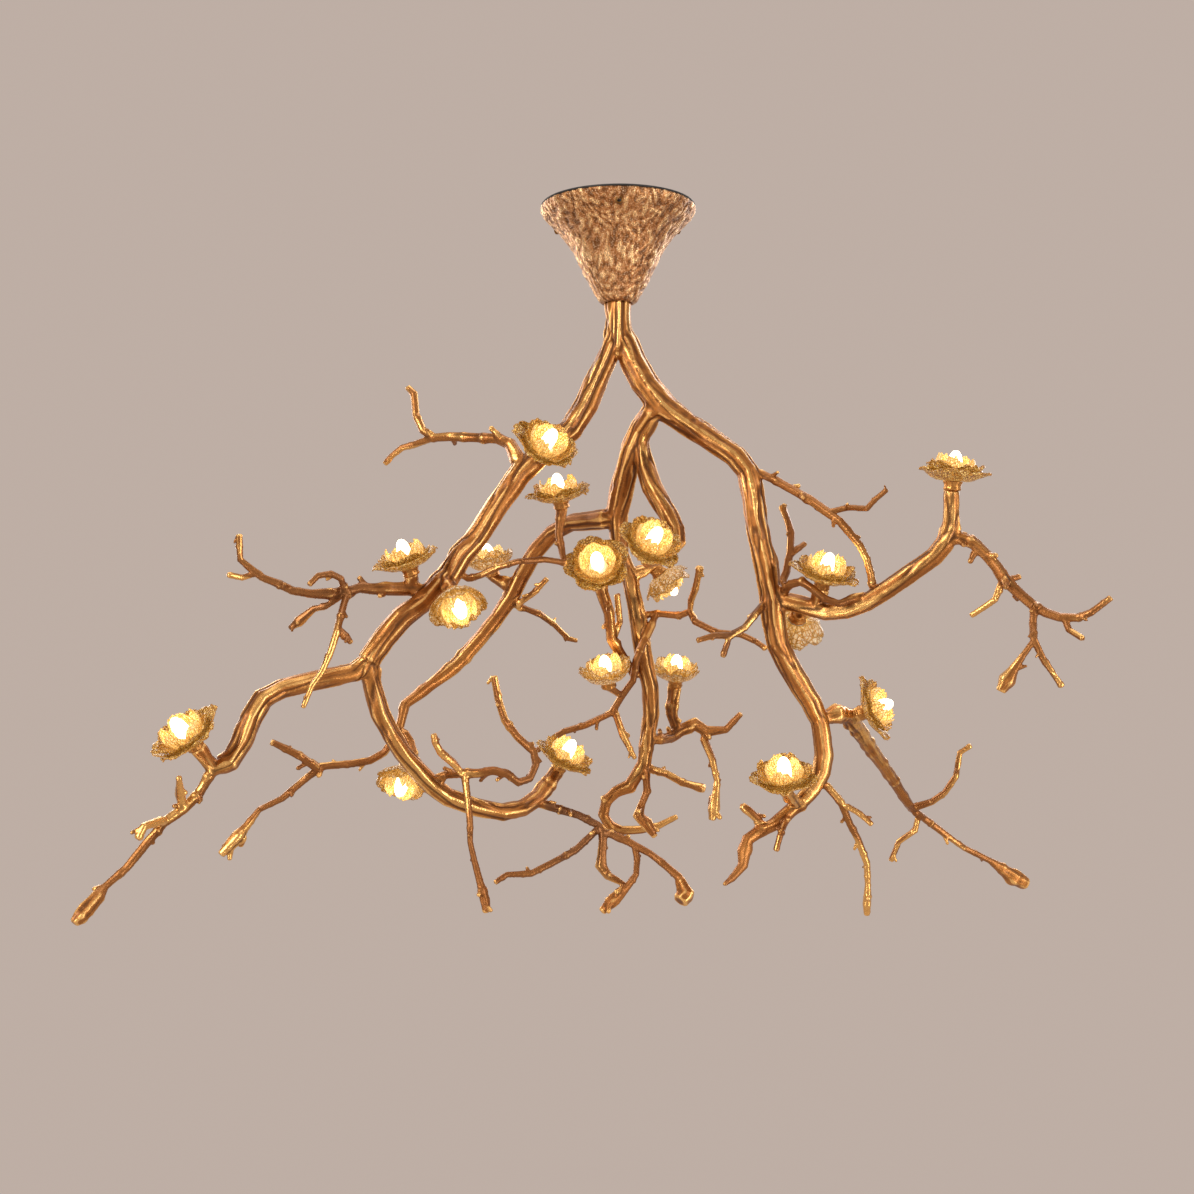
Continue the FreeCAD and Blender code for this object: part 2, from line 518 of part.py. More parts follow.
stem_cast = casting("stem", [([stem.solid], [])])
left_cast = casting("limb_left", [([limb_left.solid, stalk(limb_left, 2), stalk(limb_left, 6)], [stem_cast])])
left_end_cast = casting("limb_left_end", [([limb_left_end.solid], [left_cast])])
bend_cast = casting("limb_left_bend", [([limb_left_bend.solid], [left_cast, left_end_cast])])
right_cast = casting("limb_right", [([limb_right.solid, stalk(limb_right, 18)], [stem_cast, left_cast])])
centre_cast = casting("limb_centre", [([limb_centre.solid, stalk(limb_centre, 10)], [right_cast])])
hook_cast = casting("centre_hook", [([centre_hook.solid], [centre_cast])])
back_cast = casting("limb_back", [([limb_back.solid, stalk(limb_back, 5)], [centre_cast])])
arm_cast = casting("right_arm", [([right_arm.solid, stalk(right_arm, 15), stalk(right_arm, 16)], [right_cast])])
spur_cast = casting("right_spur", [([right_spur.solid, stalk(right_spur, 17)], [right_cast])])

casting("twig_upper_left", [([twig_fork.solid, twig_fork_side.solid], [left_cast])])
tangle_cast = casting("twig_left_tangle", [([tangle.solid, stalk(tangle, 4, 5.8), tangle_fork.solid,
                                             tangle_arc.solid, tangle_leaf.solid, tangle_drop.solid,
                                             tangle_bud.solid], [left_cast])])
casting("twig_left_tail", [([left_tail.solid, left_tail_up.solid, left_tail_leaf.solid], [left_end_cast])])
casting("twig_bend_front", [([bend_run.solid, bend_up.solid, bend_drop.solid], [bend_cast])])
casting("twig_bend_tip", [([bend_tip.solid, bend_tip_left.solid, bend_tip_right.solid, bend_tip_bud.solid],
                           [bend_cast])])
back_tail_cast = casting("twig_back_tail", [([back_tail.solid, back_tail_up.solid], [back_cast])])
casting("twigs_back", [([back_twig.solid], [back_cast]), ([back_stub.solid], [back_cast]),
                       ([back_lamp_stalk.solid], [back_cast, back_tail_cast])])
casting("twig_long_loop", [([long_loop.solid], [left_cast])])
casting("twig_lamp_stem", [([lamp_stem.solid, lamp_stem_side.solid], [centre_cast])])
casting("twig_centre_shelf", [([centre_shelf.solid, shelf_stem.solid, shelf_drop.solid], [centre_cast])])
casting("twigs_centre_low", [([centre_spike.solid], [centre_cast]), ([centre_leaf.solid], [centre_cast, centre_spike.solid])])
casting("twig_centre_cross", [([cross_twig.solid, stalk(cross_twig, 11, 4.6), cross_twig_down.solid,
                                cross_twig_right.solid, cross_twig_rise.solid], [centre_cast])])
casting("twig_fan", [([fan_twig.solid, fan_twig_side.solid], [right_cast, arm_cast])])
casting("twigs_right_limb", [([tall_twig.solid, tall_twig_side.solid], [right_cast, arm_cast]),
                             ([cross_right.solid, cross_right_side.solid], [right_cast]),
                             ([front_vine.solid], [right_cast, arm_cast])])
casting("twigs_right_low", [([low_drop.solid, low_drop_side.solid], [right_cast]),
                            ([low_stub.solid], [right_cast]), ([low_twig.solid], [right_cast])])
casting("twig_arm_spray", [([arm_spray.solid, arm_spray_knot.solid, arm_spray_low.solid, arm_spray_fork.solid,
                             arm_spray_bud.solid, arm_spray_end.solid], [arm_cast])])
casting("twig_spur", [([spur_long.solid, spur_rise.solid, spur_drop.solid], [spur_cast])])

# ---------------------------------------------------------------- flower parts, drawn on their own axis (+Z)
CUP_SIDES = 6
BULB_SIDES = 8
TUBE_SIDES = 12
SCREW_SIDES = 8
LOBES = 5
HOLDER_TOP = size("calyx_depth") + 2 * size("petal_thickness") + size("flange_thickness")


def flat_ring(radius, height, sides, turn=0.0):
    right = V(math.cos(turn), math.sin(turn), 0)
    return ring(V(0, 0, height), right, V(-right.y, right.x, 0), radius, sides)


def turned(profile, sides):
    """A faceted turning: (radius, height) pairs from the bottom up."""
    return faceted([flat_ring(radius, height, sides) for radius, height in profile])


def calyx_cup():
    bore = size("holder_radius") + size("holder_clearance")
    outside = turned([(size("calyx_base"), 0), (size("calyx_radius"), size("calyx_depth"))], CUP_SIDES)
    inside = turned([(bore, size("calyx_floor")), (bore, size("calyx_depth") + 1)], CUP_SIDES)
    return outside.cut(inside)


def pin_box(extra, top, bottom):
    width = size("pin_width") + 2 * extra
    boxes = []
    for side in (-1, 1):
        corner = V(side * size("pin_spacing") / 2 - width / 2, -width / 2, bottom)
        boxes.append(Part.makeBox(width, width, top - bottom, corner))
    return boxes


def lamp_holder():
    body = turned([(size("holder_radius"), size("calyx_floor")), (size("holder_radius"), HOLDER_TOP)], CUP_SIDES)
    flange = turned([(size("holder_flange"), HOLDER_TOP - size("flange_thickness")),
                     (size("holder_flange"), HOLDER_TOP)], CUP_SIDES)
    holder = body.fuse(flange).removeSplitter()
    for hole in pin_box(size("pin_clearance"), HOLDER_TOP + 1, HOLDER_TOP - size("pin_length") - 1):
        holder = holder.cut(hole)
    return holder


def bulb():
    radius = size("bulb_radius")
    top = HOLDER_TOP + size("bulb_length")
    glass = turned([(radius, HOLDER_TOP), (radius, top - 5), (0.55 * radius, top)], BULB_SIDES)
    for pin in pin_box(0.0, HOLDER_TOP + 0.5, HOLDER_TOP - size("pin_length")):
        glass = glass.fuse(pin)
    return glass


def rosette(base, hub, rim):
    """Five joined petals. hub and rim list (radius, height) over one petal, repeated round the axis."""
    wall = V(0, 0, size("petal_thickness"))
    bore_radius = (size("holder_radius") + size("holder_clearance")) / math.cos(math.pi / LOBES)

    def around(per_lobe):
        points = []
        for lobe in range(LOBES):
            for step, (radius, height) in enumerate(per_lobe):
                turn = 2 * math.pi * (lobe + step / len(per_lobe)) / LOBES
                points.append(V(radius * math.cos(turn), radius * math.sin(turn), base + height))
        return points

    bore = around([(bore_radius, 0)])
    shoulder = around([hub])
    edge = around(rim)
    share = len(rim)
    faces = []
    for skin in (V(0, 0, 0), wall):
        for i in range(LOBES):
            after = (i + 1) % LOBES
            faces.append(facet(bore[i] + skin, bore[after] + skin, shoulder[after] + skin, shoulder[i] + skin))
            middle = i * share + share // 2
            for j in range(i * share, (i + 1) * share):
                near = shoulder[i] if j < middle else shoulder[after]
                faces.append(facet(near + skin, edge[j] + skin, edge[(j + 1) % len(edge)] + skin))
            faces.append(facet(shoulder[i] + skin, shoulder[after] + skin, edge[middle] + skin))
    for i in range(LOBES):
        after = (i + 1) % LOBES
        faces.append(facet(bore[i], bore[after], bore[after] + wall, bore[i] + wall))
    for j in range(len(edge)):
        after = (j + 1) % len(edge)
        faces.append(facet(edge[j], edge[after], edge[after] + wall, edge[j] + wall))
    solid = Part.makeSolid(Part.makeShell(faces))
    if solid.Volume < 0:
        solid.reverse()
    return solid


def inner_hub_radius():
    """The inner petals' flat hub carries the holder's flange."""
    return (size("holder_flange") + 0.3) / math.cos(math.pi / LOBES)


def outer_petals(reach, rise):
    hub = (inner_hub_radius() / math.cos(math.pi / LOBES) + 0.3, 0)
    rim = [(0.80 * reach, 0.55 * rise), (reach, 0.85 * rise), (0.97 * reach, rise)]
    return rosette(size("calyx_depth"), hub, rim)


def inner_petals():
    reach = size("inner_reach")
    rise = size("inner_rise")
    hub = (inner_hub_radius(), 0)
    rim = [(0.82 * reach, 0.75 * rise), (reach, rise)]
    return rosette(size("calyx_depth") + size("petal_thickness"), hub, rim)


def on_flower(shape, number, turn=0.0):
    """Moves a flower part from its own axis to a flower's foot and facing."""
    placed = shape.copy()
    placed.Placement = FreeCAD.Placement(foot(number), FreeCAD.Rotation(V(0, 0, 1), facing(number))) * \
        FreeCAD.Placement(V(), FreeCAD.Rotation(V(0, 0, 1), turn))
    return placed


PETAL_TURN = 36.0  # inner petals stand between the outer ones
cup_shape = calyx_cup()
holder_shape = lamp_holder()
open_petals = outer_petals(size("outer_reach"), size("outer_rise"))
half_open_petals = outer_petals(size("half_open_reach"), size("half_open_rise"))
inner_shape = inner_petals()
bulb_shape = bulb()

# ---------------------------------------------------------------- document objects
OUT = []


def keep(node, shape):
    """A finished piece goes into the document under its node's name."""
    item = DOC.addObject("Part::Feature", node)
    item.Label = node
    item.Shape = shape
    OUT.append(item)
    return item


for node, solids in CAST.items():
    keep(node, solids[0] if len(solids) == 1 else Part.makeCompound(solids))

for node, shape, turn in (("calyx_cups", cup_shape, 0.0), ("lamp_holders", holder_shape, 0.0),
                          ("inner_petals", inner_shape, PETAL_TURN)):
    keep(node, Part.makeCompound([on_flower(shape, number, turn) for number in FLOWERS]))
keep("outer_petals", Part.makeCompound([on_flower(half_open_petals if number in HALF_OPEN else open_petals, number)
                                        for number in FLOWERS]))
for number in FLOWERS:
    keep(f"bulb_{number:02d}", on_flower(bulb_shape, number))

# ---------------------------------------------------------------- canopy, a faceted hammered cone
CANOPY_SIDES = 20
# share of the height, share of the way from the lip's radius to the rim's radius
CANOPY_LINE = [(0.0, 1.0), (0.12, 0.92), (0.25, 0.72), (0.43, 0.50), (0.60, 0.36), (0.93, 0.10), (1.0, 0.0)]
STEM_GAP = 0.8


def canopy_profile(inset):
    lip = size("collar_radius")
    rim = size("canopy_radius")
    drop = size("canopy_height") - size("canopy_top_gap")
    profile = []
    for down, out in CANOPY_LINE:
        profile.append((lip + (rim - lip) * out - inset, -size("canopy_top_gap") - drop * down))
    return profile[::-1]


canopy_outside = turned(canopy_profile(0.0), CANOPY_SIDES)
hollow = canopy_profile(size("canopy_wall"))
hollow[-1] = (hollow[-1][0], 1.0)
bore_to_stem = size("stem_radius") + STEM_GAP
hollow = [(max(radius, bore_to_stem), height) for radius, height in hollow]
hollow[0] = (hollow[0][0], hollow[0][1] - 1.0)
canopy_inside = turned(hollow, CANOPY_SIDES)
canopy_shell = canopy_outside.cut(canopy_inside)

SCREW_TURNS = (-90.0, 30.0, 150.0)
screw_axis_z = -size("grub_drop")
tip_gap = 0.3
tip_at = size("lug_reach") + tip_gap


def along_screw(turn):
    """A frame on a side screw's axis: its +Z points outwards through the canopy."""
    out = V(math.cos(math.radians(turn)), math.sin(math.radians(turn)), 0)
    return FreeCAD.Placement(V(0, 0, screw_axis_z), FreeCAD.Rotation(V(0, 0, 1), out))


def canopy_outer_at(z):
    profile = canopy_profile(0.0)
    for (low_radius, low_z), (high_radius, high_z) in zip(profile, profile[1:]):
        if low_z <= z <= high_z:
            return low_radius + (high_radius - low_radius) * (z - low_z) / (high_z - low_z)
    return profile[-1][0]


screw_hole = size("grub_radius") + 0.1
head_at = canopy_outer_at(screw_axis_z) - 0.5
screws = []
for turn in SCREW_TURNS:
    hole = turned([(screw_hole, tip_at), (screw_hole, size("canopy_radius"))], SCREW_SIDES)
    hole.Placement = along_screw(turn)
    pocket = turned([(size("grub_head") + 0.2, head_at), (size("grub_head") + 0.2, 2 * head_at)], SCREW_SIDES)
    pocket.Placement = along_screw(turn)
    canopy_shell = canopy_shell.cut(hole).cut(pocket)
    screw = turned([(size("grub_radius"), tip_at), (size("grub_radius"), head_at)], SCREW_SIDES)
    head = turned([(size("grub_head"), head_at), (size("grub_head"), head_at + size("grub_head_length"))],
                  SCREW_SIDES)
    screw = screw.fuse(head)
    screw.Placement = along_screw(turn)
    screws.append(screw)
keep("canopy", canopy_shell)
keep("canopy_screws", Part.makeCompound(screws))


# ---------------------------------------------------------------- ceiling plate, a PartDesign body
def plane(body, role):
    return next(item for item in body.Origin.OriginFeatures if item.Role == role)


def sketch_on(body, name, role="XY_Plane", offset=0.0):
    sketch = body.newObject("Sketcher::SketchObject", name)
    sketch.AttachmentSupport = [(plane(body, role), "")]
    sketch.MapMode = "FlatFace"
    sketch.AttachmentOffset = FreeCAD.Placement(V(0, 0, offset), FreeCAD.Rotation())
    return sketch


def circle(sketch, x, y, radius, alias):
    index = sketch.addGeometry(Part.Circle(V(x, y, 0), V(0, 0, 1), radius), False)
    number = sketch.addConstraint(Sketcher.Constraint("Radius", index, radius))
    sketch.setExpression(f"Constraints[{number}]", f"sizes.{alias}")
    return index


def polygon(sketch, x, y, radius, sides):
    corners = [V(x, y, 0) + corner for corner in flat_ring(radius, 0, sides)]
    for start, end in zip(corners, corners[1:] + corners[:1]):
        sketch.addGeometry(Part.LineSegment(start, end), False)


plate = DOC.addObject("PartDesign::Body", "ceiling_plate")
disc = sketch_on(plate, "plate_outline")
circle(disc, 0, 0, size("plate_radius"), "plate_radius")
polygon(disc, 0, 0, size("nipple_radius"), TUBE_SIDES)
FIXING_TURNS = (0.0, 120.0, 240.0)
for turn in FIXING_TURNS:
    x = size("fixing_circle") * math.cos(math.radians(turn))
    y = size("fixing_circle") * math.sin(math.radians(turn))
    circle(disc, x, y, size("fixing_hole"), "fixing_hole")
MAINS_HOLE = (-22.0, 0.0, 7.0)  # across, deep, radius
polygon(disc, *MAINS_HOLE, SCREW_SIDES)
disc_pad = plate.newObject("PartDesign::Pad", "plate_disc")
disc_pad.Profile = disc
disc_pad.Reversed = True
disc_pad.setExpression("Length", "sizes.plate_thickness")
DOC.recompute()

lug = sketch_on(plate, "lug_outline", offset=-size("plate_thickness"))
far = size("lug_reach")
near = far - size("lug_wall")
half = size("lug_width") / 2
for turn in SCREW_TURNS:
    out = V(math.cos(math.radians(turn)), math.sin(math.radians(turn)), 0)
    left = V(-out.y, out.x, 0)
    corners = [out * near - left * half, out * far - left * half, out * far + left * half, out * near + left * half]
    for start, end in zip(corners, corners[1:] + corners[:1]):
        lug.addGeometry(Part.LineSegment(start, end), False)
lug_pad = plate.newObject("PartDesign::Pad", "plate_lugs")
lug_pad.Profile = lug
lug_pad.Reversed = True
lug_pad.setExpression("Length", "sizes.lug_drop")
DOC.recompute()
plate.Label = "ceiling_plate"
OUT.append(plate)

# ---------------------------------------------------------------- threaded tube, nuts and washer
THREAD_GRIP = size("nut_thickness") + 6  # how deep the tube screws into the stem
under_plate = -size("plate_thickness")
NIPPLE_TOP = -0.5
WIRE_WAY_TOP = -25.0


def rod(radius, bottom, top, sides=TUBE_SIDES):
    return turned([(radius, bottom), (radius, top)], sides)


thread = rod(size("nipple_radius"), -2 * size("canopy_height"), 1)
nipple = rod(size("nipple_radius"), STEM_TOP - THREAD_GRIP, NIPPLE_TOP)
nipple = nipple.cut(rod(size("nipple_bore"), -2 * size("canopy_height"), 1, 8))
nipple = nipple.cut(Part.makeBox(4, 12, 5, V(-2, -12, WIRE_WAY_TOP - 5)))


def hex_nut(bottom):
    corner = size("nut_across") / math.sqrt(3)
    return rod(corner, bottom, bottom + size("nut_thickness"), 6).cut(thread)


washer = rod(size("washer_radius"), under_plate - size("washer_thickness"), under_plate).cut(thread)
upper_nut = hex_nut(under_plate - size("washer_thickness") - size("nut_thickness"))
lower_nut = hex_nut(STEM_TOP)
keep("nipple", nipple)
keep("nipple_nuts", Part.makeCompound([upper_nut, lower_nut]))
keep("washer", washer)

# the stem is drilled for the tube
stem_item = next(item for item in OUT if item.Name == "stem")
stem_item.Shape = largest(stem_item.Shape.cut(rod(size("nipple_radius"), STEM_TOP - THREAD_GRIP, 0)))

# ---------------------------------------------------------------- what the canopy hides
DRIVER_BACK = 12.0
driver = Part.makeBox(size("driver_length"), size("driver_depth"), size("driver_height"),
                      V(-size("driver_length") / 2, DRIVER_BACK, under_plate - size("driver_height")))
keep("lamp_driver", driver)

BLOCK_FRONT = -14.0
block_place = V(-size("block_length") / 2, BLOCK_FRONT - size("block_depth"), under_plate - size("block_height"))
block = Part.makeBox(size("block_length"), size("block_depth"), size("block_height"), block_place)
WAYS = 3
for way in range(WAYS):
    x = block_place.x + size("block_length") * (way + 0.5) / WAYS
    block = block.cut(Part.makeBox(3.4, size("block_depth") + 2, 3.4,
                                   V(x - 1.7, block_place.y - 1, block_place.z + 3)))
keep("terminal_block", block)

EARTH_PLACE = (-38.0, -12.0)
EARTH_SHANK = 7.0
earth = rod(size("earth_radius"), under_plate - EARTH_SHANK, under_plate, SCREW_SIDES)
earth = earth.fuse(rod(2 * size("earth_radius"), under_plate - EARTH_SHANK - 2.5, under_plate - EARTH_SHANK,
                       SCREW_SIDES))
earth.translate(V(*EARTH_PLACE, 0))
keep("earth_screw", earth)

DOC.recompute()

# ---------------------------------------------------------------- tests, then the files
faults = []
for item in DOC.Objects:
    if "Invalid" in item.State or "Error" in item.State:
        faults.append(f"{item.Name} is {item.State}")
for item in OUT:
    if item.Shape.isNull() or not item.Shape.isValid() or not item.Shape.Solids:
        faults.append(f"{item.Label} has a bad shape")
if faults:
    raise ValueError("; ".join(faults))

os.makedirs("parts", exist_ok=True)
for item in OUT:
    item.Shape.exportStep(f"parts/{item.Label}.step")
print(len(OUT), "nodes,", sum(len(item.Shape.Solids) for item in OUT), "solids")
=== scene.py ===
from collections import namedtuple
from itertools import product
import json
import math

import bmesh
import bpy
import numpy as np
from mathutils import Matrix, Vector, noise
from mathutils.bvhtree import BVHTree
from mathutils.kdtree import KDTree


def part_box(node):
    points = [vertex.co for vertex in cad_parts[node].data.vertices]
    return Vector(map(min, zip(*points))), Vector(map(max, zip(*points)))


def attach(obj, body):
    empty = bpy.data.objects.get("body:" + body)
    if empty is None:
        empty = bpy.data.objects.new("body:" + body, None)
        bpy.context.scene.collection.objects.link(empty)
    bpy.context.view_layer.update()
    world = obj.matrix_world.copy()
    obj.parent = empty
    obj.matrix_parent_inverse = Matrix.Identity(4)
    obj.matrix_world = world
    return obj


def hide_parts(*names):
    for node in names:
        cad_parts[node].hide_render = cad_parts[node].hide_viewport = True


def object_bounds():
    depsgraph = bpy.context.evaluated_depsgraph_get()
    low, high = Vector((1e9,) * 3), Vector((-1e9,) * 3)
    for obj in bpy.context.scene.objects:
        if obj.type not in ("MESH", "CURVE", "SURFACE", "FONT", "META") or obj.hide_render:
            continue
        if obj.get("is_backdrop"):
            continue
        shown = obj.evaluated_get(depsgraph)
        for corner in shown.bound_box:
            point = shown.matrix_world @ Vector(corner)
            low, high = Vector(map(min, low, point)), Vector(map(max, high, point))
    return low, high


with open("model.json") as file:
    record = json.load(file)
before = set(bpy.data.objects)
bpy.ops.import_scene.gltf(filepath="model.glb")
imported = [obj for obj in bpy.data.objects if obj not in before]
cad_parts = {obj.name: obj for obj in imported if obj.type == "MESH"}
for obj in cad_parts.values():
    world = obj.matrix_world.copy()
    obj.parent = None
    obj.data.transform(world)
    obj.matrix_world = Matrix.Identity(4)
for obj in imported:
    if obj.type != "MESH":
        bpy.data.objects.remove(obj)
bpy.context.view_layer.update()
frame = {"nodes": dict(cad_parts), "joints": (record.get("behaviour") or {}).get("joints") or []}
NODES = frame["nodes"]
MM = 0.001

# -------- camera, room and light
scene = bpy.context.scene
camera_data = bpy.data.cameras.new("camera")
camera_data.lens = 40.70
camera_data.sensor_width = 36.0
camera_data.clip_start, camera_data.clip_end = 0.05, 60
camera = bpy.data.objects.new("camera", camera_data)
camera.location = (-0.021, -1.350, -0.3904)
camera.rotation_euler = (math.radians(90), 0, 0)
scene.collection.objects.link(camera)
scene.camera = camera
scene.view_settings.view_transform = "Standard"

WALL = (0.515, 0.425, 0.375)
FLOOR = (0.56, 0.48, 0.43)
ROOM_LIGHT = (0.80, 0.74, 0.70)
ROOM_LIGHT_STRENGTH = 0.55


def lamp(name, place, width, height, power, tint=(1, 1, 1)):
    """A soft area lamp that points at the middle of the branches and doesn't show itself."""
    data = bpy.data.lights.new(name, "AREA")
    data.shape = "RECTANGLE"
    data.size, data.size_y = width, height
    data.energy = power
    data.color = tint
    made = bpy.data.objects.new(name, data)
    made.location = place
    made.rotation_mode = "QUATERNION"
    made.rotation_quaternion = (MIDDLE - Vector(place)).to_track_quat("-Z", "Y")
    made.visible_camera = False
    scene.collection.objects.link(made)


MIDDLE = Vector((0, 0, -0.35))
lamp("key_left", (-1.5, -1.5, 0.5), 0.7, 1.4, 28, (1.0, 0.95, 0.88))
lamp("fill_right", (1.7, -1.1, -0.1), 0.5, 1.6, 16, (1.0, 0.96, 0.92))
lamp("low_right", (1.15, -1.05, -1.10), 0.28, 0.7, 5.5, (1.0, 0.93, 0.84))
lamp("low_left", (-1.0, -1.1, -1.15), 0.25, 0.7, 3.5, (1.0, 0.93, 0.84))
lamp("top_soft", (0.1, 0.3, 1.6), 1.8, 1.8, 20)
lamp("back_left", (-1.3, 1.5, 0.2), 0.6, 1.6, 18, (1.0, 0.94, 0.86))
lamp("back_right", (1.2, 1.6, 0.4), 0.6, 1.6, 14)


# -------- material helpers
def group_shell(name, inputs, outputs):
    """An empty shader group with its sockets, and its input and output nodes."""
    tree = bpy.data.node_groups.new(name, "ShaderNodeTree")
    for label, kind, default in inputs:
        socket = tree.interface.new_socket(name=label, in_out="INPUT", socket_type=kind)
        socket.default_value = default
    for label, kind in outputs:
        tree.interface.new_socket(name=label, in_out="OUTPUT", socket_type=kind)
    return tree, tree.nodes.new("NodeGroupInput"), tree.nodes.new("NodeGroupOutput")


def feed(tree, made, slots):
    """Sets each input, by name or number, to a value or a colour, or links it to a socket."""
    for slot, value in slots.items():
        if isinstance(value, (int, float)):
            made.inputs[slot].default_value = value
        elif isinstance(value, tuple):
            made.inputs[slot].default_value = (*value, 1)
        elif value is not None:
            tree.links.new(value, made.inputs[slot])
    return made


def math_node(tree, operation, first, second=None):
    made = tree.nodes.new("ShaderNodeMath")
    made.operation = operation
    feed(tree, made, {0: first, 1: second})
    return made.outputs[0]


def mix_colour(tree, factor, first, second):
    """The Mix node in its colour mode, whose colours are inputs 6 and 7 and output 2."""
    made = tree.nodes.new("ShaderNodeMix")
    made.data_type = "RGBA"
    feed(tree, made, {0: factor, 6: first, 7: second})
    return made.outputs[2]


def ramp(tree, value, low, high, low_out=0.0, high_out=1.0):
    """A smooth step from low_out at low to high_out at high."""
    made = tree.nodes.new("ShaderNodeMapRange")
    made.interpolation_type = "SMOOTHSTEP"
    feed(tree, made, {"Value": value, "From Min": low, "From Max": high, "To Min": low_out, "To Max": high_out})
    return made.outputs["Result"]


def noise_on(tree, vector, scale, detail, rough=0.5):
    made = tree.nodes.new("ShaderNodeTexNoise")
    feed(tree, made, {"Vector": vector, "Scale": scale, "Detail": detail, "Roughness": rough})
    return made.outputs["Fac"]


def attribute(tree, name):
    made = tree.nodes.new("ShaderNodeAttribute")
    made.attribute_name = name
    return made.outputs["Fac"]


def bump(tree, height, strength, distance, normal=None):
    made = tree.nodes.new("ShaderNodeBump")
    feed(tree, made, {"Height": height, "Strength": strength, "Distance": distance, "Normal": normal})
    return made.outputs["Normal"]


def seen_directly(tree):
    """1 for rays from the camera and those it sends on by metal or glass, 0 for the rays that light things."""
    path = tree.nodes.new("ShaderNodeLightPath")
    shown = path.outputs["Is Camera Ray"]
    for ray in ("Is Glossy Ray", "Is Transmission Ray"):
        shown = math_node(tree, "MAXIMUM", shown, path.outputs[ray])
    return shown


def room_world():
    """Soft light from all round, where what is seen directly is the plain wall."""
    world = bpy.data.worlds.new("room")
    scene.world = world
    world.use_nodes = True
    tree = world.node_tree
    tree.nodes.clear()
    choose = tree.nodes.new("ShaderNodeMixShader")
    for slot, colour, strength in ((1, ROOM_LIGHT, ROOM_LIGHT_STRENGTH), (2, WALL, 1.0)):
        background = tree.nodes.new("ShaderNodeBackground")
        feed(tree, background, {"Color": colour, "Strength": strength})
        feed(tree, choose, {slot: background.outputs[0]})
    feed(tree, choose, {"Fac": seen_directly(tree)})
    surface = tree.nodes.new("ShaderNodeOutputWorld")
    tree.links.new(choose.outputs[0], surface.inputs["Surface"])


room_world()


def material(name):
    """A new material: itself, its tree, its Principled shader and the object's own coordinates."""
    made = bpy.data.materials.new(name)
    made.use_nodes = True
    tree = made.node_tree
    tree.nodes.clear()
    shader = tree.nodes.new("ShaderNodeBsdfPrincipled")
    surface = tree.nodes.new("ShaderNodeOutputMaterial")
    tree.links.new(shader.outputs[0], surface.inputs["Surface"])
    place = tree.nodes.new("ShaderNodeTexCoord").outputs["Object"]
    return made, tree, shader, place


def cast_grain_group():
    """Fine cast grain: masks of small pits and of slow clouds, both 0 to 1, and a height for a bump."""
    tree, into, out_of = group_shell(
        "cast_grain",
        [("Place", "NodeSocketVector", (0, 0, 0)), ("Grain", "NodeSocketFloat", 900.0),
         ("Cloud", "NodeSocketFloat", 22.0)],
        [("Pits", "NodeSocketFloat"), ("Clouds", "NodeSocketFloat"), ("Height", "NodeSocketFloat")])
    fine = noise_on(tree, into.outputs["Place"], into.outputs["Grain"], 4, 0.6)
    slow = noise_on(tree, into.outputs["Place"], into.outputs["Cloud"], 3)
    feed(tree, out_of, {"Pits": ramp(tree, fine, 0.52, 0.68), "Clouds": ramp(tree, slow, 0.35, 0.65),
                        "Height": fine})
    return tree


GRAIN = cast_grain_group()


def grain(tree, place, size_of_grain, cloud):
    made = tree.nodes.new("ShaderNodeGroup")
    made.node_tree = GRAIN
    return feed(tree, made, {"Place": place, "Grain": size_of_grain, "Cloud": cloud}).outputs


def branch_gold():
    """Copper brown cast metal, with painted shade in its grooves and forks, and painted highlights along streaks and
    on its ridges.
    """
    made, tree, shader, place = material("antique_gold_branch")
    marks = grain(tree, place, 620.0, 17.0)
    highlight_streak = attribute(tree, "highlight_streak")
    groove_shade = attribute(tree, "groove_shade")
    hollow = attribute(tree, "hollow")
    thin = attribute(tree, "thin")
    base = mix_colour(tree, marks["Clouds"], (0.365, 0.132, 0.028), (0.485, 0.200, 0.046))
    dull = mix_colour(tree, thin, base, (0.215, 0.090, 0.034))
    # painted highlights: gold along the streaks, and on the proudest ridges
    painted_streak_highlight = mix_colour(tree, ramp(tree, highlight_streak, 0.70, 0.97), dull, (0.82, 0.45, 0.135))
    painted_ridge_highlight = mix_colour(tree, ramp(tree, hollow, 0.22, 0.02), painted_streak_highlight, (0.88, 0.52, 0.175))
    # painted shade: darker in the flute grooves, and darker still deep in the forks and hollows
    brown = mix_colour(tree, math_node(tree, "MULTIPLY", groove_shade, 0.70), painted_ridge_highlight, (0.150, 0.055, 0.015))
    deep = mix_colour(tree, ramp(tree, hollow, 0.68, 1.0, 0.0, 0.75), brown, (0.110, 0.042, 0.013))
    pitted = math_node(tree, "MULTIPLY", marks["Pits"], 0.30)
    speckled = mix_colour(tree, pitted, deep, (0.12, 0.044, 0.013))
    rough = math_node(tree, "ADD", ramp(tree, highlight_streak, 0.3, 0.98, 0.46, 0.24),
                      math_node(tree, "MULTIPLY", marks["Pits"], 0.14))
    feed(tree, shader, {"Base Color": speckled, "Metallic": 0.82, "Roughness": rough, "Coat Weight": 0.12,
                        "Coat Roughness": 0.20, "Normal": bump(tree, marks["Height"], 0.16, 0.0004)})
    return made


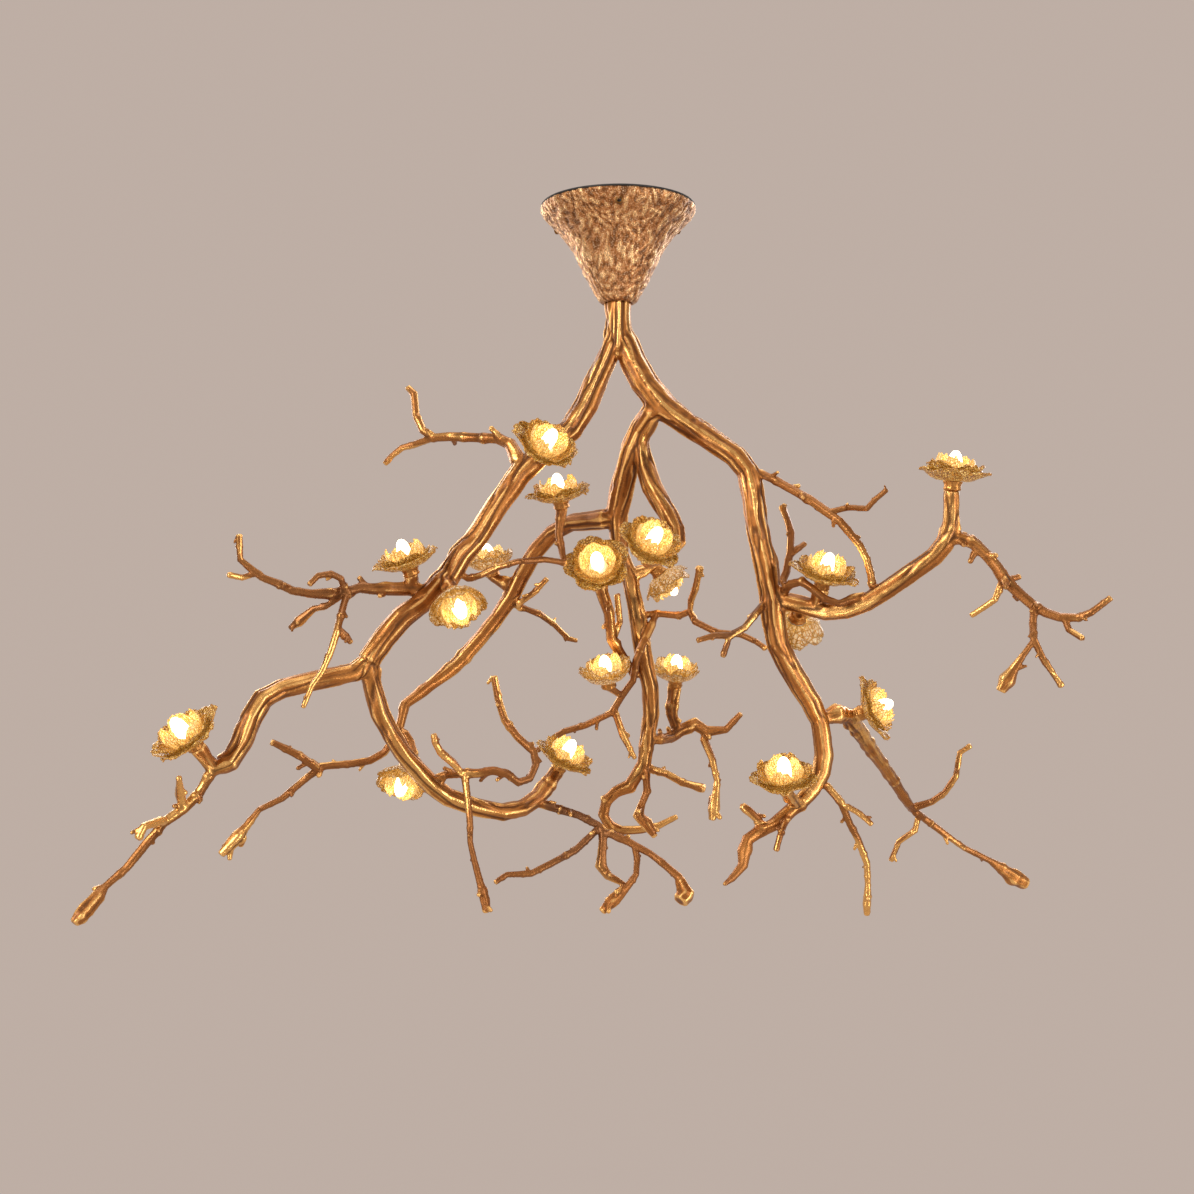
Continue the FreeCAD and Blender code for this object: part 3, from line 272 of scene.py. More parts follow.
def canopy_copper():
    """Hammered copper with fine grain over its ripples: painted highlights sparkle on the grain's tops and the crests,
    and painted shade lies between them.
    """
    made, tree, shader, place = material("canopy_hammered_copper")
    marks = grain(tree, place, 950.0, 15.0)
    coarse = grain(tree, place, 420.0, 40.0)
    dent = attribute(tree, "dent")
    base = mix_colour(tree, marks["Clouds"], (0.47, 0.190, 0.060), (0.60, 0.275, 0.096))
    # painted highlights on the hammered crests, and painted shade between them
    high = mix_colour(tree, ramp(tree, dent, 0.50, 0.95), base, (0.90, 0.58, 0.28))
    low = mix_colour(tree, ramp(tree, dent, 0.45, 0.10), high, (0.19, 0.070, 0.020))
    # painted shade in the fine grain's dips, and painted sparkle highlights on its tops
    dark = mix_colour(tree, ramp(tree, marks["Height"], 0.50, 0.38, 0.0, 0.85), low, (0.15, 0.052, 0.014))
    lit = mix_colour(tree, ramp(tree, marks["Height"], 0.53, 0.68, 0.0, 0.8), dark, (1.0, 0.80, 0.54))
    pitted = math_node(tree, "MULTIPLY", coarse["Pits"], 0.30)
    speckled = mix_colour(tree, pitted, lit, (0.17, 0.062, 0.02))
    coarse_bump = bump(tree, coarse["Height"], 0.5, 0.0010)
    feed(tree, shader, {"Base Color": speckled, "Metallic": 0.82,
                        "Roughness": ramp(tree, dent, 0.1, 0.9, 0.44, 0.26),
                        "Normal": bump(tree, marks["Height"], 0.7, 0.0006, coarse_bump)})
    return made


def crackle_group():
    """Hand-worked glass: facets between fine cracks, and crimps that run from the hub to the rim."""
    tree, into, out_of = group_shell(
        "crackled_glass",
        [("Place", "NodeSocketVector", (0, 0, 0)), ("Facets", "NodeSocketFloat", 480.0),
         ("Reach", "NodeSocketFloat", 0.0), ("Across", "NodeSocketFloat", 0.0)],
        [("Cracks", "NodeSocketFloat"), ("Shade", "NodeSocketFloat"), ("Crimps", "NodeSocketFloat"),
         ("Height", "NodeSocketFloat")])
    bend = tree.nodes.new("ShaderNodeTexNoise")
    bend.inputs["Scale"].default_value = 300
    tree.links.new(into.outputs["Place"], bend.inputs["Vector"])
    warp = tree.nodes.new("ShaderNodeVectorMath")
    warp.operation = "MULTIPLY_ADD"
    warp.inputs[1].default_value = (0.0026, 0.0026, 0.0026)
    tree.links.new(bend.outputs["Color"], warp.inputs[0])
    tree.links.new(into.outputs["Place"], warp.inputs[2])
    found = {}
    for feature in ("DISTANCE_TO_EDGE", "F1"):
        cells = tree.nodes.new("ShaderNodeTexVoronoi")
        cells.feature = feature
        found[feature] = feed(tree, cells, {"Vector": warp.outputs[0], "Scale": into.outputs["Facets"]})
    between = ramp(tree, found["DISTANCE_TO_EDGE"].outputs["Distance"], 0.02, 0.20)
    each = tree.nodes.new("ShaderNodeSeparateColor")
    tree.links.new(found["F1"].outputs["Color"], each.inputs[0])
    leaf = feed(tree, tree.nodes.new("ShaderNodeCombineXYZ"), {
        0: math_node(tree, "MULTIPLY", into.outputs["Across"], 9.0),
        1: math_node(tree, "MULTIPLY", into.outputs["Reach"], 1.6), 2: bend.outputs["Fac"]})
    crimp = noise_on(tree, leaf.outputs[0], 1.6, 3)
    height = math_node(tree, "ADD", between, math_node(tree, "MULTIPLY", each.outputs[1], 0.9))
    height = math_node(tree, "ADD", height, math_node(tree, "MULTIPLY", crimp, 4.0))
    feed(tree, out_of, {"Cracks": between, "Shade": each.outputs[0], "Crimps": ramp(tree, crimp, 0.42, 0.62),
                        "Height": height})
    return tree


CRACKLE = crackle_group()


def petal_glass(name, deep, pale, painted_highlight, crack, edge, clear, lit, facets):
    """Amber glass leaf, deeper at the hub and paler towards its tip, with painted highlights and painted shade on its
    crimps and facets, a painted glow of its own near its lamp, and an edge of its own colour.
    """
    made, tree, shader, place = material(name)
    reach, across, glow = attribute(tree, "reach"), attribute(tree, "across"), attribute(tree, "glow")
    group = tree.nodes.new("ShaderNodeGroup")
    group.node_tree = CRACKLE
    marks = feed(tree, group, {"Place": place, "Reach": reach, "Across": across, "Facets": facets}).outputs
    body = mix_colour(tree, reach, deep, pale)
    # painted highlights on the crimps and on some facets at random, and painted shade on others
    crimped = mix_colour(tree, marks["Crimps"], body, painted_highlight)
    faceted = mix_colour(tree, ramp(tree, marks["Shade"], 0.35, 1.0, 0.0, 0.75), crimped, painted_highlight)
    dark = mix_colour(tree, ramp(tree, marks["Shade"], 0.30, 0.0, 0.0, 0.45), faceted, crack)
    cracked = mix_colour(tree, marks["Cracks"], crack, dark)
    side = math_node(tree, "ABSOLUTE", across)
    rim = math_node(tree, "MAXIMUM", ramp(tree, reach, 0.93, 1.0), ramp(tree, side, 0.90, 1.0))
    edged = mix_colour(tree, math_node(tree, "MULTIPLY", rim, 0.8), cracked, edge)
    # painted glow: the glass gives off light of its own near its lamp and along its crimps, where the bulb would light
    # it
    glowing = mix_colour(tree, glow, (0.90, 0.40, 0.025), (1.0, 0.76, 0.30))
    near = math_node(tree, "ADD", math_node(tree, "MULTIPLY", glow, 0.8), 0.2)
    through = math_node(tree, "ADD", math_node(tree, "MULTIPLY", marks["Crimps"], 0.7), 0.3)
    shown = math_node(tree, "MULTIPLY", near, through)
    feed(tree, shader, {
        "Base Color": edged, "Roughness": ramp(tree, marks["Shade"], 0.0, 1.0, 0.12, 0.36), "Metallic": 0.0,
        "IOR": 1.5, "Transmission Weight": clear, "Coat Weight": 0.25, "Coat Roughness": 0.10,
        "Emission Color": mix_colour(tree, shown, (0.0, 0.0, 0.0), glowing), "Emission Strength": lit,
        "Normal": bump(tree, marks["Height"], 0.75, 0.0007)})
    return made


def lamp_glass():
    """Frosted glass lit from inside, whitest where its glow attribute is 1."""
    made, tree, shader, place = material("lamp_frosted_glass")
    glow = attribute(tree, "glow")
    feed(tree, shader, {
        "Base Color": mix_colour(tree, glow, (0.98, 0.82, 0.55), (1.0, 0.97, 0.90)), "Roughness": 0.35,
        "Emission Color": mix_colour(tree, glow, (1.0, 0.60, 0.22), (1.0, 0.84, 0.56)), "Emission Strength": 6.0,
        "Normal": bump(tree, noise_on(tree, place, 900, 3, 0.55), 0.15, 0.0003)})
    return made


def plain_finish(name, colour, pit, metallic, rough, size_of_grain=800.0, cloud=40.0, bump_by=0.2):
    """A plain colour with clouds a little darker, and pits of their own colour."""
    made, tree, shader, place = material(name)
    marks = grain(tree, place, size_of_grain, cloud)
    first = mix_colour(tree, marks["Clouds"], colour, tuple(0.78 * c for c in colour))
    feed(tree, shader, {
        "Base Color": mix_colour(tree, math_node(tree, "MULTIPLY", marks["Pits"], 0.5), first, pit),
        "Metallic": metallic, "Roughness": ramp(tree, marks["Clouds"], 0, 1, rough - 0.06, rough + 0.08),
        "Normal": bump(tree, marks["Height"], bump_by, 0.0003)})
    return made


GOLD = branch_gold()
COPPER = canopy_copper()
PETAL_OUT = petal_glass(
    "petal_glass_gold", deep=(0.60, 0.215, 0.008), pale=(0.93, 0.45, 0.050), painted_highlight=(1.0, 0.74, 0.26),
    crack=(0.26, 0.082, 0.004), edge=(0.56, 0.22, 0.015), clear=0.08, lit=0.55, facets=380.0)
PETAL_IN = petal_glass(
    "petal_glass_inner", deep=(0.90, 0.42, 0.030), pale=(1.0, 0.72, 0.22), painted_highlight=(1.0, 0.92, 0.58),
    crack=(0.46, 0.18, 0.01), edge=(0.80, 0.40, 0.05), clear=0.25, lit=1.35, facets=360.0)
PETAL_CLEAR = petal_glass(
    "petal_glass_pale", deep=(0.82, 0.44, 0.06), pale=(0.98, 0.80, 0.42), painted_highlight=(1.0, 0.96, 0.80),
    crack=(0.50, 0.23, 0.02), edge=(0.46, 0.19, 0.02), clear=0.45, lit=0.70, facets=240.0)
LAMP = lamp_glass()
# black for the ceiling plate, and also painted shade in the screw sockets and painted shadow along the canopy's rim
BLACK_AND_SHADE = plain_finish("black_steel_and_painted_shade", (0.020, 0.018, 0.017), (0.045, 0.040, 0.036), 0.1, 0.62,
                     1100.0, 30.0, 0.12)
ZINC = plain_finish("zinc_steel", (0.56, 0.56, 0.54), (0.35, 0.35, 0.34), 1.0, 0.36)
BRASS = plain_finish("side_screw_brass", (0.30, 0.15, 0.045), (0.08, 0.035, 0.012), 1.0, 0.34)
CERAMIC = plain_finish("holder_ceramic", (0.80, 0.76, 0.68), (0.62, 0.56, 0.46), 0.0, 0.38)
CASE = plain_finish("white_case_plastic", (0.80, 0.80, 0.78), (0.66, 0.66, 0.64), 0.0, 0.46,
                    1400.0, 60.0, 0.12)
PIN = plain_finish("pin_nickel", (0.62, 0.60, 0.55), (0.4, 0.38, 0.34), 1.0, 0.3)
CUP = plain_finish("calyx_gold", (0.60, 0.28, 0.075), (0.22, 0.09, 0.03), 0.9, 0.36, 700.0, 90.0, 0.3)


# -------- mesh helpers
def object_from(shape, name, *materials):
    """A finished bmesh as an object at the origin."""
    mesh = bpy.data.meshes.new(name)
    shape.to_mesh(mesh)
    shape.free()
    made = bpy.data.objects.new(name, mesh)
    scene.collection.objects.link(made)
    for one in materials:
        mesh.materials.append(one)
    mesh.shade_smooth()
    return made


def settle(made, body, slot, *nodes):
    """Gives the piece its body and hides the CAD nodes that it stands for; slot is not used."""
    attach(made, body)
    if nodes:
        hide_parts(*nodes)


def apply_modifiers(made):
    """The object's mesh with its modifiers applied."""
    graph = bpy.context.evaluated_depsgraph_get()
    graph.update()
    finished = bpy.data.meshes.new_from_object(made.evaluated_get(graph))
    made.modifiers.clear()
    made.data = finished
    return made


def points_of(mesh):
    spots = np.zeros(len(mesh.vertices) * 3, np.float32)
    mesh.vertices.foreach_get("co", spots)
    return spots.reshape(-1, 3).astype(float)


def put_points(mesh, spots):
    mesh.vertices.foreach_set("co", spots.astype(np.float32).ravel())
    mesh.update()


def put_attribute(mesh, name, values):
    layer = mesh.attributes.new(name, "FLOAT", "POINT")
    layer.data.foreach_set("value", np.asarray(values, np.float32))


# -------- the flowers' places
FOOT_BELOW_PINS = 5.5 * MM


def flower_frame(number):
    """The flower's own frame: its axis is the lamp's pull, and its foot lies a little below the pins."""
    joint = next(j for j in frame["joints"] if j["name"] == f"bulb_{number:02d}_pull")
    axis = Vector(joint["axis"]).normalized()
    turn = Vector((0, 0, 1)).rotation_difference(axis).to_matrix()
    spots = np.array([v.co for v in NODES[f"bulb_{number:02d}"].data.vertices]) @ np.array(turn)
    low, high = spots.min(0), spots.max(0)
    foot = turn @ Vector(((low[0] + high[0]) / 2, (low[1] + high[1]) / 2, low[2] - FOOT_BELOW_PINS))
    return Matrix.Translation(foot) @ turn.to_4x4()


FLOWERS = sorted(int(n[5:7]) for n in NODES if n.startswith("bulb_"))
PLACES = {number: flower_frame(number) for number in FLOWERS}


# -------- the gilded branchwork
CASTINGS = ["stem", "limb_left", "limb_left_end", "limb_left_bend", "limb_right", "limb_centre", "centre_hook",
            "limb_back", "right_arm", "right_spur"]
TWIGS = sorted(n for n in NODES if n.startswith("twig"))
CASTINGS += TWIGS
VOXEL = 0.00105


def cast_skin():
    """One skin over all the castings, as the plating runs over their brazed joints."""
    shape = bmesh.new()
    for name in TWIGS:
        shape.from_mesh(NODES[name].data)
    stubs = shoot_stubs(shape)
    for name in CASTINGS:
        if name not in TWIGS:
            shape.from_mesh(NODES[name].data)
    bmesh.ops.remove_doubles(shape, verts=shape.verts, dist=1e-6)
    append(shape, stubs, Matrix.Identity(4))
    skin = object_from(shape, "branch_skin")
    remesh = skin.modifiers.new("skin", "REMESH")
    remesh.mode = "VOXEL"
    remesh.voxel_size = VOXEL
    remesh.adaptivity = 0
    return apply_modifiers(skin)


def append(target, part, place):
    """Moves the part to its place and adds it to the target bmesh; the part is used up."""
    bmesh.ops.transform(part, matrix=place, verts=part.verts)
    mesh = bpy.data.meshes.new("part")
    part.to_mesh(mesh)
    part.free()
    target.from_mesh(mesh)
    bpy.data.meshes.remove(mesh)


STUB_TRIES = 900
STUB_GIRTHS = (1.5 * MM, 4.8 * MM)
STUB_FROM_LAMP = 42 * MM
STUB_APART = 15 * MM


def shoot_stubs(twigs):
    """Short blunt side shoots and bud stumps along the twigs, away from the flowers."""
    seeded = np.random.default_rng(41)
    stubs = bmesh.new()
    twigs.normal_update()
    twigs.faces.ensure_lookup_table()
    wood = BVHTree.FromBMesh(twigs)
    areas = np.array([face.calc_area() for face in twigs.faces])
    lamps = [place @ Vector((0, 0, 20 * MM)) for place in PLACES.values()]
    crown = Vector((0, 0, -0.3))
    taken = []
    for index in seeded.choice(len(areas), STUB_TRIES, p=areas / areas.sum()):
        face = twigs.faces[int(index)]
        shares = seeded.dirichlet((1, 1, 1))
        spot = sum((corner.co * share for corner, share in zip(face.verts, shares)), Vector())
        through = wood.ray_cast(spot - face.normal * 0.3 * MM, -face.normal, 0.03)[3]
        if through is None or not STUB_GIRTHS[0] < through / 2 < STUB_GIRTHS[1]:
            continue
        if any((spot - lamp).length < STUB_FROM_LAMP for lamp in lamps):
            continue
        if any((spot - other).length < STUB_APART for other in taken):
            continue
        thick = through / 2
        taken.append(spot)
        run = max(face.edges, key=lambda edge: edge.calc_length())
        way = (run.verts[1].co - run.verts[0].co).normalized()
        if way.dot(spot - crown) < 0:
            way = -way
        lean = (face.normal * 0.8 + way * float(seeded.uniform(0.3, 1.1))).normalized()
        reach = thick * float(seeded.uniform(0.7, 2.3))
        blunt = thick * float(seeded.uniform(0.34, 0.48))
        stub = bmesh.new()
        bmesh.ops.create_cone(stub, cap_ends=True, segments=9, radius1=0.66 * thick, radius2=blunt,
                              depth=reach + 0.5 * thick)
        bmesh.ops.translate(stub, vec=(0, 0, (reach - 0.5 * thick) / 2), verts=stub.verts)
        if seeded.uniform() < 0.5:
            bud = bmesh.new()
            bmesh.ops.create_icosphere(bud, subdivisions=2, radius=blunt * 1.25)
            append(stub, bud, Matrix.Translation((0, 0, reach)) @ Matrix.Diagonal((1, 1, 1.4, 1)))
        append(stubs, stub, Matrix.Translation(spot) @ lean.to_track_quat("Z", "X").to_matrix().to_4x4())
    return stubs


class Net:
    """The skin's points with their neighbours along the edges, for smoothing over it."""

    def __init__(self, mesh):
        self.spots = points_of(mesh)
        count = len(self.spots)
        ends = np.zeros(len(mesh.edges) * 2, np.int64)
        mesh.edges.foreach_get("vertices", ends)
        ends = ends.reshape(-1, 2)
        start = np.concatenate([ends[:, 0], ends[:, 1]])
        finish = np.concatenate([ends[:, 1], ends[:, 0]])
        order = np.argsort(start, kind="stable")
        start, finish = start[order], finish[order]
        degree = np.bincount(start, minlength=count)
        first = np.concatenate([[0], np.cumsum(degree)[:-1]])
        rank = np.arange(len(start)) - first[start]
        widest = int(degree.max())
        self.near = np.repeat(np.arange(count)[:, None], widest, 1)
        self.near[start, rank] = finish
        self.weight = (np.arange(widest)[None, :] < degree[:, None]).astype(float)
        self.degree = np.maximum(degree, 1).astype(float)
        mesh.calc_loop_triangles()
        sides = np.zeros(len(mesh.loop_triangles) * 3, np.int64)
        mesh.loop_triangles.foreach_get("vertices", sides)
        self.sides = sides.reshape(-1, 3)

    def mean(self, values):
        """Each point's average over its neighbours."""
        total = np.zeros_like(values, dtype=float)
        for k in range(self.near.shape[1]):
            picked = values[self.near[:, k]]
            total += picked * (self.weight[:, k] if values.ndim == 1 else self.weight[:, k][:, None])
        return total / (self.degree if values.ndim == 1 else self.degree[:, None])

    def smoothed(self, values, rounds):
        for _ in range(rounds):
            values = self.mean(values)
        return values

    def normals(self):
        a, b, c = (self.spots[self.sides[:, k]] for k in range(3))
        across = np.cross(b - a, c - a)
        total = np.zeros_like(self.spots)
        for k in range(3):
            for axis in range(3):
                total[:, axis] += np.bincount(self.sides[:, k], across[:, axis], len(self.spots))
        return total / np.maximum(np.linalg.norm(total, axis=1), 1e-12)[:, None]

    def ease(self, rounds):
        """Rounds off steps without thinning the twigs."""
        for _ in range(rounds):
            for share in (0.5, -0.53):
                self.spots = self.spots + share * (self.mean(self.spots) - self.spots)

    def fill_forks(self, rounds):
        """Fills the creases where shoots leave their carriers, as braze and plating do: only outward steps."""
        for turn in range(rounds):
            if turn % 4 == 0:
                normals = self.normals()
            pull = self.mean(self.spots) - self.spots
            outward = np.einsum("ij,ij->i", pull, normals)
            self.spots = self.spots + pull * np.clip(outward / (0.03 * VOXEL), 0, 1)[:, None] * 0.9

    def hollows(self, normals, thick, rounds):
        """0 on the proudest ridges, 1 in the deepest hollows, whatever the branch's thickness."""
        eased = self.smoothed(self.spots, rounds)
        return even(np.einsum("ij,ij->i", eased - self.spots, normals) * thick)


def grain_directions(net, normals):
    """The way the branch runs at each point: nearby normals all lie across it."""
    cell = 4 * MM
    low = net.spots.min(0) - 6 * cell
    spot = (net.spots - low) / cell
    grid = tuple((np.ceil(spot.max(0)) + 8).astype(int))
    index = np.ravel_multi_index(tuple(spot.astype(int).T), grid)
    pairs = [(0, 0), (1, 1), (2, 2), (0, 1), (0, 2), (1, 2)]
    spread = []
    for a, b in pairs:
        field = np.bincount(index, normals[:, a] * normals[:, b], int(np.prod(grid))).reshape(grid)
        for _ in range(2):
            for axis in range(3):
                field = field + 0.8 * (np.roll(field, 1, axis) + np.roll(field, -1, axis))
        spread.append(field.ravel()[index])
    tensor = np.zeros((len(net.spots), 3, 3))
    for (a, b), values in zip(pairs, spread):
        tensor[:, a, b] = values
        tensor[:, b, a] = values
    tensor /= np.maximum(np.trace(tensor, axis1=1, axis2=2), 1e-12)[:, None, None]
    flat = net.smoothed(tensor.reshape(-1, 9), 6)
    return np.linalg.eigh(flat.reshape(-1, 3, 3))[1][:, :, 0]


def tree_of(spots):
    tree = KDTree(len(spots))
    for i, spot in enumerate(spots):
        tree.insert(spot, i)
    tree.balance()
    return tree


def along_branch(net, tree, ways, step, doublings, fields):
    """Averages each field over 2 ** doublings steps along the branch, both ways from each point."""
    count = len(net.spots)
    after = np.zeros(2 * count, np.int64)
    for sign, begin in ((1.0, 0), (-1.0, count)):
        targets = net.spots + sign * step * ways
        found = np.fromiter((tree.find(t)[1] for t in targets), np.int64, count)
        # the sign that keeps the walk going forward at the point it reaches
        forward = np.where(np.einsum("ij,ij->i", sign * ways, ways[found]) > 0, 0, count)
        after[begin:begin + count] = found + forward
    results = []
    for field in fields:
        total = np.concatenate([field, field])
        jump = after.copy()
        for _ in range(doublings):
            total = total + total[jump]
            jump = jump[jump]
        results.append((total[:count] + total[count:]) / 2 ** (doublings + 1))
    return results


def even(values):
    """Ranks as 0 to 1, so that a field fills its range evenly."""
    order = np.argsort(np.argsort(values))
    return order / (len(values) - 1)


KNUCKLE_TRIES = 9000
KNUCKLE_CELL = 11 * MM
KNUCKLE_GIRTH = 7 * MM


def knuckles(net, tree, normals, ways, thick):
    """Swellings round the thinner branches, fuller on one side, where shoots once stood."""
    seeded = np.random.default_rng(5)
    swell = np.zeros(len(net.spots))
    taken = set()
    for i in seeded.integers(0, len(net.spots), KNUCKLE_TRIES):
        girth = thick[i]
        if girth > KNUCKLE_GIRTH:
            continue
        cell = tuple((net.spots[i] / KNUCKLE_CELL).astype(int))
        if any(tuple(c + d for c, d in zip(cell, by)) in taken for by in product((-1, 0, 1), repeat=3)):
            continue
        taken.add(cell)
        centre = net.spots[i] - normals[i] * girth
        near = np.array([found[1] for found in tree.find_range(centre, 3.2 * girth)])
        if len(near) == 0:
            continue
        offset = net.spots[near] - centre
        run = offset @ ways[i]
        side = np.einsum("ij,ij->i", offset, offset) - run ** 2 < (1.8 * girth) ** 2
        rise = girth * float(seeded.uniform(0.12, 0.42))
        length = girth * float(seeded.uniform(0.5, 1.0))
        high = rise * np.exp(-(run / length) ** 2) * (0.6 + 0.4 * (normals[near] @ normals[i])) * side
        swell[near] = np.maximum(swell[near], high)
    return swell


# where the thin twigs are darkest in the photograph: a centre and a reach
DARK_PATINA = [((-0.300, -0.02, -0.365), 0.105), ((0.12, -0.05, -0.42), 0.05), ((-0.06, 0.0, -0.60), 0.07)]
# how far the skin stands off the castings, which offsets what its grooves and easing take away
PLATING = 0.45 * MM


def branchwork():
    """The whole skin with its flutes, swellings and the attributes that colour it."""
    skin = cast_skin()
    net = Net(skin.data)
    net.ease(3)
    net.fill_forks(90)
    net.ease(3)
    normals = net.normals()
    thick = thickness(net, normals)
    ways = grain_directions(net, normals)
    tree = tree_of(net.spots)
    seeded = np.random.default_rng(18)
    wide = net.smoothed(seeded.standard_normal(len(net.spots)), 20)
    mid = net.smoothed(seeded.standard_normal(len(net.spots)), 2)
    flute, highlight_streak = along_branch(net, tree, ways, 3.2 * MM, 5, [wide, mid])
    # a second, short run joins up what the long steps left dotted
    flute, highlight_streak = along_branch(net, tree, ways, 1.3 * MM, 3, [net.mean(flute), highlight_streak])
    flute = even(net.smoothed(flute, 2))
    highlight_streak = even(net.mean(highlight_streak))
    # grooves run where the flute field crosses its middle, with a shallower set further out
    # groove_shade is 1 in the middle grooves, where the branch material paints shade
    groove_shade = np.clip(1 - np.abs(flute - 0.5) * 11, 0, 1)
    lumps = np.array([noise.noise(Vector(p) * 60) for p in net.spots])
    thick = net.smoothed(thick, 3)
    dip = np.exp(-((flute - 0.5) / 0.09) ** 2) + 0.5 * np.exp(-((flute - 0.82) / 0.05) ** 2)
    relief = thick * (0.04 - 0.15 * dip + 0.03 * (highlight_streak - 0.5) + 0.08 * lumps)
    relief = net.smoothed(relief, 2) + knuckles(net, tree, normals, ways, thick) + PLATING
    net.spots = net.spots + normals * relief[:, None]
    net.ease(1)
    put_points(skin.data, net.spots)
    normals = net.normals()
    thin = np.clip((5.6 * MM - thick) / (3.4 * MM), 0, 1) * 0.5
    for place, reach in DARK_PATINA:
        away = np.linalg.norm(net.spots - np.array(place), axis=1)
        near = np.clip(1.5 - away / reach, 0, 1)
        thin = np.maximum(thin, near * np.clip((6.5 * MM - thick) / (2 * MM), 0, 1))
    # highlight_streak marks where the branch material paints its highlights along the branches
    put_attribute(skin.data, "highlight_streak", highlight_streak)
    put_attribute(skin.data, "groove_shade", groove_shade * np.clip(thick / (5 * MM), 0.25, 1))
    put_attribute(skin.data, "thin", thin)
    # hollow sets painted highlights on the ridges and painted shade in the hollows
    put_attribute(skin.data, "hollow", net.hollows(normals, thick, 4))
    return skin


def thickness(net, normals):
    """Half the way through to the far side: measured at every third point and smoothed over the skin."""
    shown = BVHTree.FromPolygons([tuple(p) for p in net.spots], [tuple(int(i) for i in t) for t in net.sides])
    half = np.full(len(net.spots), 3.0 * MM)
    inside = net.spots - normals * 0.3 * MM
    for i in range(0, len(net.spots), 3):
        hit = shown.ray_cast(Vector(inside[i]), Vector(-normals[i]), 0.06)
        if hit[3] is not None:
            half[i] = 0.5 * hit[3]
    known = np.zeros(len(net.spots))
    known[::3] = 1.0
    values, known = net.smoothed(half * known, 12), net.smoothed(known, 12)
    return np.clip(values / np.maximum(known, 1e-9), 0.8 * MM, 14 * MM)


def slab(skin, name, low, high):
    """The part of the skin between two upright planes across, closed where it is cut."""
    shape = bmesh.new()
    shape.from_mesh(skin.data)
    for place, side in ((low, -1), (high, 1)):
        if place is None:
            continue
        geometry = shape.verts[:] + shape.edges[:] + shape.faces[:]
        bmesh.ops.bisect_plane(shape, geom=geometry, dist=1e-7, plane_co=(place, 0, 0),
                               plane_no=(side, 0, 0), clear_outer=True)
        rim = [e for e in shape.edges if e.is_boundary]
        closed = bmesh.ops.holes_fill(shape, edges=rim, sides=0)["faces"]
        for face in closed:
            for edge in face.edges:
                edge.smooth = False
    cut = object_from(shape, name, GOLD)
    for face in cut.data.polygons:
        if len(face.vertices) > 6:
            face.use_smooth = False
    return cut


# the skin is shown in four upright parts, none of them too heavy for one mesh: name, from x, to x
SLABS = [("branches_left", None, -0.128), ("branches_centre_left", -0.128, -0.018),
         ("branches_centre_right", -0.018, 0.105), ("branches_right", 0.105, None)]
skin = branchwork()
for name, low, high in SLABS:
    piece = slab(skin, name, low, high)
    stands_for = []
    for casting in CASTINGS:
        corner_low, corner_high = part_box(casting)
        if (low is None or corner_high.x > low) and (high is None or corner_low.x < high):
            stands_for.append(casting)
    settle(piece, "fixture", "antique_gold", *stands_for)
bpy.data.objects.remove(skin)


# -------- the flowers
def smooth_line(stops, x):
    """The height at x of a smooth curve through the (x, height) stops."""
    for k, ((a, p), (b, q)) in enumerate(zip(stops, stops[1:])):
        if x <= b or k == len(stops) - 2:
            before = stops[k - 1] if k else (a - (b - a), p)
            beyond = stops[k + 2] if k + 2 < len(stops) else (b + (b - a), q)
            in_slope = (q - before[1]) / (b - before[0])
            out_slope = (beyond[1] - p) / (beyond[0] - a)
            t, span = (x - a) / (b - a), b - a
            return ((2 * t ** 3 - 3 * t ** 2 + 1) * p + (t ** 3 - 2 * t ** 2 + t) * span * in_slope
                    + (3 * t ** 2 - 2 * t ** 3) * q + (t ** 3 - t ** 2) * span * out_slope)


# A ring of petals, in mm: line is the midrib's (share, radius, height) from hub to tip; wrap is how far a petal
# bends round the lamp (0 flat, 1 full); cupped lifts its sides, curl turns its tip down, ruffle waves it; wall is
# the glass, and turn the ring's start in degrees.
Ring = namedtuple("Ring", "line half_width wrap cupped curl ruffle wall turn")


